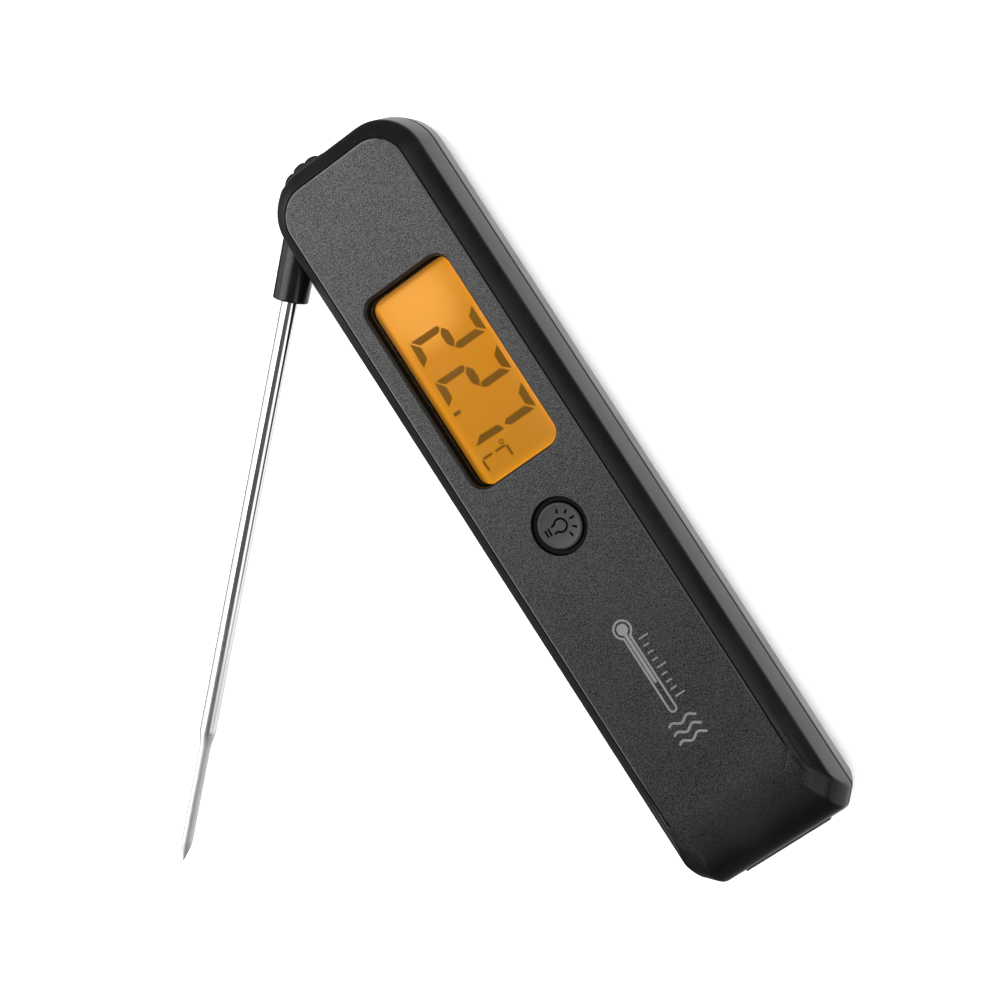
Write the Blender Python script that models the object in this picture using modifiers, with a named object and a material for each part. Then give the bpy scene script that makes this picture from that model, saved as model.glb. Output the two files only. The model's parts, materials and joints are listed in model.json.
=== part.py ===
"""Folding digital food thermometer: a bar-shaped case with a probe that swings out of its left side.

The case lies on its back. +X is the reader's right, +Y the hinge end, +Z the outward normal of the
front panel. The origin is on the back face, under the middle of the case. Sizes are in millimetres
and become metres where a mesh is made.
"""

from math import asin, atan2, cos, pi, radians, sin, sqrt

import bmesh
import bpy
from mathutils import Matrix, Vector

MM = 0.001

# Case, outside
THICKNESS = 20.0
END_Y = -80.0  # battery end
TOP_Y = 80.0  # hinge end, at the front crease
PARTING_DEPTH = 11.0  # from the front panel to the line between the two shells
FRONT_CREASE = 3.87  # depth where the front bevel meets the side wall
REAR_CREASE = 15.85  # depth where the side wall meets the rear bevel
HALF_PARTING = 17.62
HALF_FRONT_CREASE = 17.135
HALF_REAR_CREASE = 17.3
HALF_PANEL = 14.25
HALF_BACK = 14.0
PANEL_STEP = 0.25  # the grained panel stands this much above the bevel
PANEL_ROUND = 0.3
BEVEL_CURVE = 1.12  # 1 makes the bevels flat
TOP_CORNER = 9.55  # plan radius of the two corners at the hinge end, at the front crease
CHAMFER = 3.2  # plan chamfer of the two corners at the battery end
FRONT_NOSE = 15.0  # length over which the front face curves down to the battery end
REAR_NOSE = 12.0
WALL = 1.8
SHELL_GAP = 0.25  # half of the gap between the shells, which the gasket fills
SEAL_HALF = 0.12
DOOR_GAP = 0.25
CORNER_STEPS = 9

# Hinge and probe
PIVOT = (-7.0, 70.2)
HINGE_Z = THICKNESS - PARTING_DEPTH
OPEN_ANGLE = 47.0  # from folded to the pose that is modelled
ARM_OFFSET = 6.6  # from the pivot to the probe's centre line
ARM_RADIUS = 3.6  # at its free end
ARM_ROOT = 3.75
ARM_END = 19.4  # along the probe, from the pivot's foot on its centre line
TUBE_START = 9.5
NECK_START = 108.3
NECK_END = 112.4
POINT_START = 132.2
TIP = 136.7
TUBE_RADIUS = 1.75
NEEDLE_RADIUS = 1.2
HUB_RADIUS = 11.3
RIB_HEIGHT = 0.5
RIB_PITCH = 16.0
RIB_ANGLES = [47.4 + RIB_PITCH * k for k in range(6)]
HUB_HALF = 3.3
PIN_RADIUS = 1.5
LEAD_DROP = 1.6  # along the probe, where its lead turns up into the coil recess

# Probe slot
POCKET_RADIUS = 12.2
POCKET_HALF = 4.0
SLOT_INNER_X = -9.5
TUBE_SLOT_HALF = 2.7
ARM_SLOT_Y = 47.0
SLOT_END_Y = -68.5
SLOT_WALL = 1.1
OPEN_SLOT_X = 3.6

# Window, display and board
WINDOW = (0.0, 29.1)
WINDOW_HALF = (10.05, 21.3)
SKIRT_Z = 15.9
LENS_TOP = 18.9
LENS_THICK = 1.2
GLASS_TOP = 15.6
GLASS_THICK = 1.3
GUIDE_TOP = 14.0
BOARD_TOP = 12.4
BOARD_THICK = 1.4
BOARD_X = (-8.2, 9.4)
BOARD_Y = (-18.0, 53.0)
BOARD_SCREWS = [(6.8, -14.5), (7.0, 57.5)]
MOUNT_GAP = 0.1  # between a soldered part and the board

# Button
BUTTON = (0.0, -6.0)
BORE_RADIUS = 5.66
CAP_RADIUS = 4.6
CAP_TOP = 19.75
FLANGE_RADIUS = 6.2
FLANGE_Z = (16.3, 17.2)
STEM_RADIUS = 1.6
STEM_END = 15.4
PLUNGER_RADIUS = 1.25
PLUNGER_Z = (13.6, 15.2)
SWITCH_HALF = 2.6
SWITCH_TOP = 14.4

# Battery bay and door
DOOR_HALF = 9.95
DOOR_Y = -22.0
DOOR_WALL = 1.6
DOOR_LIP = 0.4
CELL_RADIUS = 5.25
CELL_LENGTH = 44.5
CELL_START = -70.4
CELL_Z = 8.4
NUB_RADIUS = 1.9
NUB_HEIGHT = 0.9
PLATE_HALF = 4.4
PLATE_THICK = 0.4
SPRING_TURNS = 3.0
SPRING_START = -74.4
SPRING_WIRE = 0.3
LEAD_RADIUS = 0.4

LEAD_HOLE = (-1.0, 69.5)  # where the sensor lead leaves the hinge pocket
SCREWS = [(12.0, 66.0), (12.0, -2.0), (12.1, -62.0), (-12.2, -73.0)]
SCREW_HEAD = 1.5
SCREW_CORE = 0.95
SCREW_Z = (1.0, 13.8)
HEAD_DEPTH = 1.1
BOARD_SCREW_CORE = 0.8
MAGNETS = [(0.0, 20.0), (0.0, 52.0)]
MAGNET_RADIUS = 5.0
MAGNET_Z = (0.3, 2.5)
PIN_HEAD = 2.8
PIN_Z = (0.6, 16.2)
PIN_SHOULDER = 2.0
WASHER_RADIUS = 3.9
WASHER_THICK = 0.4
HUB_MAGNET_REACH = 7.5  # from the pivot, opposite the arm


# ---------------------------------------------------------------- helpers

def clear_scene():
    for obj in list(bpy.data.objects):
        bpy.data.objects.remove(obj, do_unlink=True)


def new_collection(name):
    collection = bpy.data.collections.new(name)
    bpy.context.scene.collection.children.link(collection)
    return collection


def material(name, colour, roughness, metallic=0.0, alpha=1.0):
    mat = bpy.data.materials.new(name)
    mat.use_nodes = True
    shader = mat.node_tree.nodes["Principled BSDF"]
    shader.inputs["Base Color"].default_value = (*colour, 1.0)
    shader.inputs["Roughness"].default_value = roughness
    shader.inputs["Metallic"].default_value = metallic
    shader.inputs["Alpha"].default_value = alpha
    return mat


def add_mesh(name, bm, mat=None, smooth=False):
    """Make an object from a bmesh in millimetres: a part if it has a material, else a cutter."""
    bmesh.ops.scale(bm, vec=(MM, MM, MM), verts=bm.verts)
    bmesh.ops.recalc_face_normals(bm, faces=bm.faces)
    mesh = bpy.data.meshes.new(name)
    bm.to_mesh(mesh)
    bm.free()
    if smooth:
        mesh.shade_smooth()
        mesh.set_sharp_from_angle(angle=radians(30))
    obj = bpy.data.objects.new(name, mesh)
    finish_object(obj, mat)
    return obj


def finish_object(obj, mat):
    if mat is None:
        CUTTERS.objects.link(obj)
        obj.hide_render = True
        obj.display_type = "WIRE"
    else:
        PARTS.objects.link(obj)
        obj.data.materials.append(mat)


def boolean(obj, tools, operation="DIFFERENCE"):
    for tool in tools:
        modifier = obj.modifiers.new(tool.name, "BOOLEAN")
        modifier.object = tool
        modifier.operation = operation
        modifier.solver = "EXACT"
    return obj


def box(name, x, y, z, mat=None, radius=0.0):
    """A box from its three (low, high) ranges, with its upright edges rounded if a radius is given."""
    bm = bmesh.new()
    bmesh.ops.create_cube(bm, size=1.0)
    sizes = [high - low for low, high in (x, y, z)]
    middle = [(high + low) / 2 for low, high in (x, y, z)]
    bmesh.ops.transform(bm, matrix=Matrix.Diagonal((*sizes, 1.0)), verts=bm.verts)
    if radius:
        upright = [e for e in bm.edges if abs(e.verts[0].co.z - e.verts[1].co.z) > 1e-6]
        bmesh.ops.bevel(bm, geom=upright, offset=radius, segments=5, profile=0.5, affect="EDGES")
    bmesh.ops.translate(bm, vec=middle, verts=bm.verts)
    return add_mesh(name, bm, mat)


def cylinder(name, centre, z, radius, mat=None, sides=32, top_radius=None):
    bm = bmesh.new()
    bmesh.ops.create_cone(
        bm, cap_ends=True, segments=sides, radius1=radius,
        radius2=radius if top_radius is None else top_radius, depth=z[1] - z[0],
    )
    bmesh.ops.translate(bm, vec=(*centre, (z[0] + z[1]) / 2), verts=bm.verts)
    return add_mesh(name, bm, mat, smooth=mat is not None)


def turned(name, profile, matrix, mat=None, steps=24):
    """A turned piece: a profile of (radius, height) points that runs down its outer side."""
    closed = min(r for r, _ in profile) > 1e-6
    mesh = bpy.data.meshes.new(name)
    points = [(r * MM, 0.0, h * MM) for r, h in profile]
    edges = [(k, k + 1) for k in range(len(points) - 1)]
    if closed:
        edges.append((len(points) - 1, 0))
    mesh.from_pydata(points, edges, [])
    obj = bpy.data.objects.new(name, mesh)
    finish_object(obj, mat)
    screw = obj.modifiers.new("turn", "SCREW")
    screw.steps = screw.render_steps = steps
    screw.use_merge_vertices = True
    screw.merge_threshold = 1e-5
    screw.use_smooth_shade = True
    obj.matrix_world = place(matrix)
    return obj


def place(matrix):
    """The same placement with its millimetre offset turned into metres."""
    result = matrix.copy()
    result.translation = matrix.translation * MM
    return result


def wire(name, points, radius, mat, resolution=2, cyclic=False):
    """A round wire through the points, with filled ends."""
    curve = bpy.data.curves.new(name, "CURVE")
    curve.dimensions = "3D"
    spline = curve.splines.new("POLY")
    spline.points.add(len(points) - 1)
    for point, place_mm in zip(spline.points, points):
        point.co = (*(Vector(place_mm) * MM), 1.0)
    spline.use_cyclic_u = cyclic
    curve.bevel_depth = radius * MM
    curve.bevel_resolution = resolution
    curve.use_fill_caps = not cyclic
    obj = bpy.data.objects.new(name, curve)
    finish_object(obj, mat)
    return obj


def loft(name, rings, mat=None, smooth=False):
    """A closed solid through rings of equally many points, with flat ends."""
    bm = bmesh.new()
    rows = [[bm.verts.new(p) for p in ring] for ring in rings]
    count = len(rows[0])
    for lower, upper in zip(rows, rows[1:]):
        for k in range(count):
            n = (k + 1) % count
            bm.faces.new((lower[k], lower[n], upper[n], upper[k]))
    bm.faces.new(rows[0])
    bm.faces.new(rows[-1])
    return add_mesh(name, bm, mat, smooth)


def smooth_path(points, steps=5):
    """Points along a Catmull-Rom curve through the given ones."""
    points = [Vector(p) for p in points]
    ends = [2 * points[0] - points[1], *points, 2 * points[-1] - points[-2]]
    path = []
    for a, b, c, d in zip(ends, ends[1:], ends[2:], ends[3:]):
        for k in range(steps):
            t = k / steps
            path.append(0.5 * (2 * b + (c - a) * t + (2 * a - 5 * b + 4 * c - d) * t ** 2
                               + (3 * b - a - 3 * c + d) * t ** 3))
    return path + [points[-1]]


# ---------------------------------------------------------------- case outline

def outline(half, top, end, radius, chamfer, z):
    """Plan outline: round corners at the hinge end, chamfered ones at the battery end."""
    points = []
    for sign, start in ((1, 0.0), (-1, 90.0)):
        centre = (sign * (half - radius), top - radius)
        for k in range(CORNER_STEPS):
            angle = radians(start + 90.0 * k / (CORNER_STEPS - 1))
            points.append((centre[0] + radius * cos(angle), centre[1] + radius * sin(angle), z))
    points += chamfered_end(-half, end, chamfer, z)
    points += [(-x, y, z) for x, y, z in reversed(chamfered_end(-half, end, chamfer, z))]
    return points


def chamfered_end(side, end, chamfer, z):
    """The left corner of the battery end, with its two chamfer edges softened."""
    soft = 0.35 * chamfer
    first = (side, end + chamfer)
    last = (side + chamfer, end)
    return [
        (first[0], first[1] + soft, z),
        (first[0] + 0.12 * soft, first[1], z),
        (first[0] + 0.7 * soft, first[1] - 0.7 * soft, z),
        (last[0] - 0.7 * soft, last[1] + 0.7 * soft, z),
        (last[0], last[1] + 0.12 * soft, z),
        (last[0] + soft, last[1], z),
    ]


def front_half_width(depth):
    if depth >= FRONT_CREASE:
        part = (depth - FRONT_CREASE) / (PARTING_DEPTH - FRONT_CREASE)
        return HALF_FRONT_CREASE + part * (HALF_PARTING - HALF_FRONT_CREASE)
    part = (FRONT_CREASE - depth) / (FRONT_CREASE - PANEL_STEP)
    if part <= 1.0:
        return HALF_FRONT_CREASE - (HALF_FRONT_CREASE - HALF_PANEL) * part ** BEVEL_CURVE
    return HALF_PANEL - PANEL_ROUND * (1 - sqrt(max(0.0, 1 - (1 - depth / PANEL_STEP) ** 2)))


def rear_half_width(depth):
    if depth <= REAR_CREASE:
        part = (depth - PARTING_DEPTH) / (REAR_CREASE - PARTING_DEPTH)
        return HALF_PARTING + part * (HALF_REAR_CREASE - HALF_PARTING)
    part = (depth - REAR_CREASE) / (THICKNESS - REAR_CREASE)
    return HALF_REAR_CREASE - (HALF_REAR_CREASE - HALF_BACK) * part ** BEVEL_CURVE


def case_rings(depths, half_width, nose_length, nose_depth, inset=0.0, shift=0.0):
    """Outlines of one shell at the given depths, drawn in by inset, with the end moved by shift."""
    rings = []
    for depth in depths:
        reach = abs(depth - PARTING_DEPTH) / nose_depth
        nose = nose_length * (1 - sqrt(max(0.0, 1 - reach ** 2)))
        half = half_width(depth)
        grow = half - HALF_FRONT_CREASE
        top = TOP_Y + grow * (1.0 if grow > 0 else 1.2) - inset
        radius = TOP_CORNER + grow - inset
        lift = min(1.0, 2.0 * reach) * inset
        z = THICKNESS - depth + (lift if depth > PARTING_DEPTH else -lift)
        end = END_Y + nose + inset - shift * (1 - reach)
        rings.append(outline(half - inset, top, end, radius, CHAMFER, z))
    return rings


def nose_depths(crease, last_depth, count):
    """Depths spaced evenly along the nose's quarter ellipse, with the crease among them."""
    span = last_depth - PARTING_DEPTH
    crease_angle = asin((crease - PARTING_DEPTH) / span)
    low = [crease_angle * k / 4 for k in range(4)]
    high = [crease_angle + (pi / 2 - crease_angle) * k / count for k in range(count + 1)]
    return [PARTING_DEPTH + span * sin(a) for a in low + high]


def front_solid(name, inset=0.0, mat=None, start=SHELL_GAP):
    depths = nose_depths(FRONT_CREASE, 0.0, 9)
    depths[0] = PARTING_DEPTH - start
    depths = [d for d in depths if abs(d - PANEL_STEP) > 0.12] + [PANEL_STEP]
    depths.sort(reverse=True)
    rings = case_rings(depths, front_half_width, FRONT_NOSE, PARTING_DEPTH, inset)
    return loft(name, rings, mat, smooth=True)


def rear_solid(name, inset=0.0, mat=None, start=SHELL_GAP, shift=0.0):
    depths = nose_depths(REAR_CREASE, THICKNESS, 6)
    depths[0] = PARTING_DEPTH + start
    rings = case_rings(depths, rear_half_width, REAR_NOSE, THICKNESS - PARTING_DEPTH, inset, shift)
    return loft(name, rings, mat, smooth=True)


# ---------------------------------------------------------------- shared cutters

def slot_cutters():
    """The space the probe folds into, open along the left side and over the hinge end."""
    low, high = HINGE_Z - POCKET_HALF, HINGE_Z + POCKET_HALF
    tube = (HINGE_Z - TUBE_SLOT_HALF, HINGE_Z + TUBE_SLOT_HALF)
    return [
        cylinder("cut_hub_pocket", PIVOT, (low, high), POCKET_RADIUS, sides=48),
        box("cut_arm_slot", (-22, SLOT_INNER_X), (ARM_SLOT_Y, PIVOT[1]), (low, high)),
        box("cut_tube_slot", (-22, SLOT_INNER_X), (SLOT_END_Y, ARM_SLOT_Y + 1), tube),
        box("cut_open_slot", (PIVOT[0], OPEN_SLOT_X), (PIVOT[1], TOP_Y + 5), (low, high)),
    ]


def slot_housing():
    """Walls around the probe's slot, kept when a shell is hollowed out."""
    low, high = HINGE_Z - POCKET_HALF - SLOT_WALL, HINGE_Z + POCKET_HALF + SLOT_WALL
    tube = (HINGE_Z - TUBE_SLOT_HALF - SLOT_WALL, HINGE_Z + TUBE_SLOT_HALF + SLOT_WALL)
    inner = SLOT_INNER_X + SLOT_WALL
    return [
        cylinder("keep_hub", PIVOT, (low, high), POCKET_RADIUS + SLOT_WALL, sides=48),
        box("keep_arm", (-25, inner), (ARM_SLOT_Y - SLOT_WALL, PIVOT[1]), (low, high)),
        box("keep_tube", (-25, inner), (SLOT_END_Y - SLOT_WALL, ARM_SLOT_Y), tube),
        box("keep_top", (PIVOT[0], OPEN_SLOT_X + SLOT_WALL), (PIVOT[1], TOP_Y + 5), (low, high)),
    ]


# ---------------------------------------------------------------- case

def front_shell(slot, housing):
    cavity = front_solid("cavity_front", inset=WALL, start=-1.0)
    window_x, window_y = WINDOW
    half_x, half_y = WINDOW_HALF
    skirt = box(
        "keep_skirt", (window_x - half_x - 1.2, window_x + half_x + 1.2),
        (window_y - half_y - 1.2, window_y + half_y + 1.2), (SKIRT_Z, THICKNESS), radius=3.5,
    )
    bosses = [cylinder(f"keep_front_boss_{k}", place_xy, (HINGE_Z + SHELL_GAP, THICKNESS), 2.4, sides=20)
              for k, place_xy in enumerate(SCREWS, 1)]
    board_bosses = [cylinder(f"keep_board_boss_{k}", place_xy, (BOARD_TOP + 0.2, THICKNESS), 2.1, sides=20)
                    for k, place_xy in enumerate(BOARD_SCREWS, 1)]
    pin_boss = cylinder("keep_pin_boss", PIVOT, (HINGE_Z, THICKNESS), 3.4, sides=24)
    walls = [
        box("keep_wall_end", (-6.5, 6.5), (-77.0, -75.6), (HINGE_Z - 2, THICKNESS)),
        box("keep_wall_top", (-6.5, 6.5), (-24.3, -23.0), (HINGE_Z - 2, THICKNESS)),
    ]
    boolean(cavity, [*housing, skirt, *bosses, *board_bosses, pin_boss, *walls])
    shell = front_solid("front_shell", mat=M["case"])
    window = loft("cut_window", [
        rounded(window_x, window_y, half_x, half_y, 3.0, THICKNESS + 1),
        rounded(window_x, window_y, half_x, half_y, 3.0, THICKNESS),
        rounded(window_x, window_y, half_x - 0.35, half_y - 0.35, 2.7, SKIRT_Z - 1),
    ])
    bore = cylinder("cut_button", BUTTON, (16.5, THICKNESS + 1), BORE_RADIUS, sides=40)
    holes = [cylinder(f"cut_front_hole_{k}", place_xy, (HINGE_Z - 1, 14.5), 1.2, sides=16)
             for k, place_xy in enumerate(SCREWS, 1)]
    board_holes = [cylinder(f"cut_board_boss_{k}", place_xy, (BOARD_TOP - 1, 16.6), 1.0, sides=16)
                   for k, place_xy in enumerate(BOARD_SCREWS, 1)]
    pin_hole = cylinder("cut_pin_front", PIVOT, (HINGE_Z, 16.6), PIN_RADIUS + 0.2, sides=24)
    lead_hole = cylinder("cut_lead_front", LEAD_HOLE, (HINGE_Z + 2, 14.6), 1.0, sides=12)
    notch = box("cut_door_notch", (-10.1, 10.1), (END_Y - 2, END_Y + 0.7), (HINGE_Z - 1, HINGE_Z + 0.75))
    boolean(shell, [cavity, *slot, window, bore, *holes, *board_holes, pin_hole, lead_hole, notch])
    return shell


def rounded(x, y, half_x, half_y, radius, z, steps=5):
    """A rounded rectangle around (x, y), counter-clockwise."""
    points = []
    for quarter, (sx, sy) in enumerate(((1, 1), (-1, 1), (-1, -1), (1, -1))):
        cx, cy = x + sx * (half_x - radius), y + sy * (half_y - radius)
        for k in range(steps + 1):
            angle = radians(90 * quarter + 90 * k / steps)
            points.append((cx + radius * cos(angle), cy + radius * sin(angle), z))
    return points


def rear_shell(slot, housing):
    cavity = rear_solid("cavity_rear", inset=WALL, start=-1.0)
    bosses = [cylinder(f"keep_rear_boss_{k}", place_xy, (-1, HINGE_Z - SHELL_GAP), 2.7, sides=20)
              for k, place_xy in enumerate(SCREWS, 1)]
    cups = [cylinder(f"keep_magnet_{k}", place_xy, (-1, 3.8), MAGNET_RADIUS + 1.4, sides=32)
            for k, place_xy in enumerate(MAGNETS, 1)]
    pin_boss = cylinder("keep_pin_rear", PIVOT, (-1, HINGE_Z), 4.4, sides=24)
    rails = [box(f"keep_rail_{k}", x, (-65, DOOR_Y + 1), (-1, 3.4))
             for k, x in enumerate(((-11.8, -7.6), (7.6, 11.8)), 1)]
    ledge = box("keep_ledge", (-11.8, 11.8), (DOOR_Y - 1.5, DOOR_Y + 1.8), (-1, 3.4))
    boolean(cavity, [*housing, *bosses, *cups, pin_boss, *rails, ledge])
    shell = rear_solid("rear_shell", mat=M["rear"])
    side = (-DOOR_HALF - DOOR_GAP, DOOR_HALF + DOOR_GAP)
    door_floor = box("cut_door_floor", side, (END_Y - 2, DOOR_Y + DOOR_GAP), (-1, 2.0))
    door_end = box("cut_door_end", side, (END_Y - 2, -65.0), (-1, HINGE_Z + 1))
    holes = [cylinder(f"cut_rear_hole_{k}", place_xy, (0, HINGE_Z + 1), 1.25, sides=16)
             for k, place_xy in enumerate(SCREWS, 1)]
    heads = [cylinder(f"cut_rear_head_{k}", place_xy, (-1, 2.4), SCREW_HEAD + 0.25, sides=20)
             for k, place_xy in enumerate(SCREWS, 1)]
    pockets = [cylinder(f"cut_magnet_{k}", place_xy, (-1, 2.7), MAGNET_RADIUS + 0.2, sides=32)
               for k, place_xy in enumerate(MAGNETS, 1)]
    pin_hole = cylinder("cut_pin_rear", PIVOT, (0, HINGE_Z), PIN_RADIUS + 0.2, sides=24)
    pin_head = cylinder("cut_pin_head", PIVOT, (-1, 2.2), 3.1, sides=24)
    boolean(shell, [cavity, *slot, door_floor, door_end, *holes, *heads, *pockets, pin_hole, pin_head])
    return shell


def gasket():
    """A flat seal between the shells: along the outline, and along the walls of the probe's slot."""
    half = HALF_PARTING
    top = TOP_Y + half - HALF_FRONT_CREASE
    radius = TOP_CORNER + half - HALF_FRONT_CREASE
    z = (HINGE_Z - SEAL_HALF, HINGE_Z + SEAL_HALF)
    keep_z, cut_z = (z[0] - 2, z[1] + 2), (z[0] - 3, z[1] + 3)

    def ring(name, inset, heights, mat=None):
        return loft(name, [outline(half - inset, top - inset, END_Y + inset, radius - inset, CHAMFER, h)
                           for h in heights], mat)

    seal = ring("case_gasket", 0.3, z, M["seal"])
    grown = 0.25
    inner = ring("cut_gasket_inner", 1.5, (z[0] - 1, z[1] + 1))
    wall = SLOT_WALL - 0.2
    keep = [
        cylinder("seal_hub", PIVOT, keep_z, POCKET_RADIUS + wall, sides=48),
        box("seal_slot", (-25, SLOT_INNER_X + wall), (SLOT_END_Y - wall, PIVOT[1]), keep_z),
        box("seal_top", (PIVOT[0], OPEN_SLOT_X + wall), (PIVOT[1], TOP_Y + 5), keep_z),
    ]
    boolean(inner, keep)
    cut = [
        cylinder("cut_seal_hub", PIVOT, cut_z, POCKET_RADIUS + grown, sides=48),
        box("cut_seal_slot", (-25, SLOT_INNER_X + grown), (SLOT_END_Y - grown, PIVOT[1]), cut_z),
        box("cut_seal_top", (PIVOT[0], OPEN_SLOT_X + grown), (PIVOT[1], TOP_Y + 5), cut_z),
    ]
    screws = [cylinder(f"cut_seal_screw_{k}", place_xy, cut_z, 1.4, sides=16)
              for k, place_xy in enumerate(SCREWS, 1)]
    return boolean(seal, [inner, *cut, *screws])


def battery_door():
    """A sliding cover: the floor of the battery bay and the rear half of the end wall in one piece."""
    door = rear_solid("battery_door", mat=M["rear"], start=0.45, shift=DOOR_LIP)
    limits = box("door_limits", (-DOOR_HALF, DOOR_HALF), (END_Y - 3, DOOR_Y), (-2, HINGE_Z + 2))
    boolean(door, [limits], "INTERSECT")
    hollow = rear_solid("cut_door_hollow", inset=DOOR_WALL, start=-1.0, shift=DOOR_LIP)
    guides = [box(f"keep_guide_{k}", x, (-69, DOOR_Y - 3), (-2, 3.0))
              for k, x in enumerate(((-7.2, -6.4), (6.4, 7.2)), 1)]
    boolean(hollow, guides)
    return boolean(door, [hollow])


def fasteners():
    for k, (x, y) in enumerate(SCREWS, 1):
        low, high = SCREW_Z
        profile = [
            (0, high), (SCREW_CORE, high - 0.6), (SCREW_CORE, low + HEAD_DEPTH + 0.1),
            (SCREW_HEAD, low + HEAD_DEPTH), (SCREW_HEAD, low), (0, low),
        ]
        turned(f"case_screw_{k}", profile, Matrix.Translation((x, y, 0)), M["screw"], steps=16)
    for k, (x, y) in enumerate(BOARD_SCREWS, 1):
        low = BOARD_TOP - BOARD_THICK
        head = (low - 1.1, low - 0.2)
        profile = [
            (0, 16.3), (BOARD_SCREW_CORE, 16.0), (BOARD_SCREW_CORE, head[1]),
            (SCREW_HEAD, head[1]), (SCREW_HEAD, head[0]), (0, head[0]),
        ]
        turned(f"board_screw_{k}", profile, Matrix.Translation((x, y, 0)), M["screw"], steps=16)
    for k, (x, y) in enumerate(MAGNETS, 1):
        cylinder(f"back_magnet_{k}", (x, y), MAGNET_Z, MAGNET_RADIUS, M["magnet"], sides=32)


# ---------------------------------------------------------------- display and electronics

def display():
    x, y = WINDOW
    half_x, half_y = WINDOW_HALF
    loft("display_lens", [
        rounded(x, y, half_x - 0.55, half_y - 0.55, 2.6, LENS_TOP - LENS_THICK),
        rounded(x, y, half_x - 0.5, half_y - 0.5, 2.6, LENS_TOP),
    ], M["clear"])
    glass_x, glass_y = (-10.8, 10.8), (y - half_y - 0.9, y + half_y + 1.1)
    low = GLASS_TOP - GLASS_THICK
    box("lcd_glass", glass_x, glass_y, (low, GLASS_TOP), M["glass"])
    frame = box("lcd_frame", (glass_x[0] - 1.2, glass_x[1] + 1.2), (glass_y[0] - 1.2, glass_y[1] + 1.2),
                (low, GLASS_TOP), M["frame"])
    opening = box("cut_lcd_frame", (glass_x[0] - 0.2, glass_x[1] + 0.2),
                  (glass_y[0] - 0.2, glass_y[1] + 0.2), (low - 1, GLASS_TOP + 1))
    boolean(frame, [opening])
    guide = (BOARD_TOP + 0.4, GUIDE_TOP)
    box("backlight_guide", (-8.0, 9.4), (y - half_y + 0.6, 48.8), guide, M["guide"])
    for k, led_x in enumerate((-4.0, 5.0), 1):
        box(f"backlight_led_{k}", (led_x - 0.8, led_x + 0.8), (6.7, 8.0),
            (BOARD_TOP + MOUNT_GAP, 13.8), M["led"])
    box("zebra_strip", (-7.8, 9.0), (49.4, 51.2), (BOARD_TOP + MOUNT_GAP, low - MOUNT_GAP), M["zebra"])


def electronics():
    low = BOARD_TOP - BOARD_THICK
    board = box("main_board", BOARD_X, BOARD_Y, (low, BOARD_TOP), M["board"])
    tabs = [
        box("board_tab_wide", (4.2, BOARD_X[1]), (50.0, 60.5), (low, BOARD_TOP)),
        box("board_tab_narrow", (6.4, BOARD_X[1]), (59.0, 67.0), (low, BOARD_TOP)),
    ]
    holes = [cylinder(f"cut_board_{k}", place_xy, (low - 1, BOARD_TOP + 1), 1.0, sides=16)
             for k, place_xy in enumerate(BOARD_SCREWS, 1)]
    boolean(board, tabs, "UNION")
    boolean(board, holes)
    box("controller_chip", (-3.5, 4.5), (22, 30), (low - 1.3, low - MOUNT_GAP), M["chip"])
    box("clock_crystal", (-5.5, -3.5), (12, 18), (low - 1.5, low - MOUNT_GAP), M["steel_dull"], radius=0.6)
    box("hall_sensor", (6.7, 9.1), (62.8, 65.6), (low - 1.1, low - MOUNT_GAP), M["chip"])


def tact_switch():
    """A small dome switch under the button; its plunger sinks into its body."""
    x, y = BUTTON
    switch = box("tact_switch", (x - SWITCH_HALF, x + SWITCH_HALF), (y - SWITCH_HALF, y + SWITCH_HALF),
                 (BOARD_TOP + MOUNT_GAP, SWITCH_TOP), M["chip"])
    well = (PLUNGER_Z[0] - 0.6, SWITCH_TOP + 1)
    boolean(switch, [cylinder("cut_tact", BUTTON, well, PLUNGER_RADIUS + 0.25, sides=20)])
    cylinder("tact_plunger", BUTTON, PLUNGER_Z, PLUNGER_RADIUS, M["plunger"], sides=20)


def button():
    """The cap's flange stops under the panel and its stem reaches down to the switch."""
    flange_low, flange_high = FLANGE_Z
    profile = [
        (0, CAP_TOP), (CAP_RADIUS - 0.5, CAP_TOP), (CAP_RADIUS - 0.15, CAP_TOP - 0.1),
        (CAP_RADIUS, CAP_TOP - 0.45), (CAP_RADIUS, flange_high), (FLANGE_RADIUS, flange_high),
        (FLANGE_RADIUS, flange_low), (STEM_RADIUS, flange_low), (STEM_RADIUS, STEM_END), (0, STEM_END),
    ]
    turned("button_cap", profile, Matrix.Translation((*BUTTON, 0)), M["button"], steps=40)
    outer, inner = BORE_RADIUS - 0.15, CAP_RADIUS + 0.2
    low, high = FLANGE_Z[1] + 0.4, CAP_TOP - 0.75
    ring = [(inner, high), (outer, high), (outer, low), (inner, low)]
    turned("button_seal", ring, Matrix.Translation((*BUTTON, 0)), M["seal"], steps=40)


# ---------------------------------------------------------------- power

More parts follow.
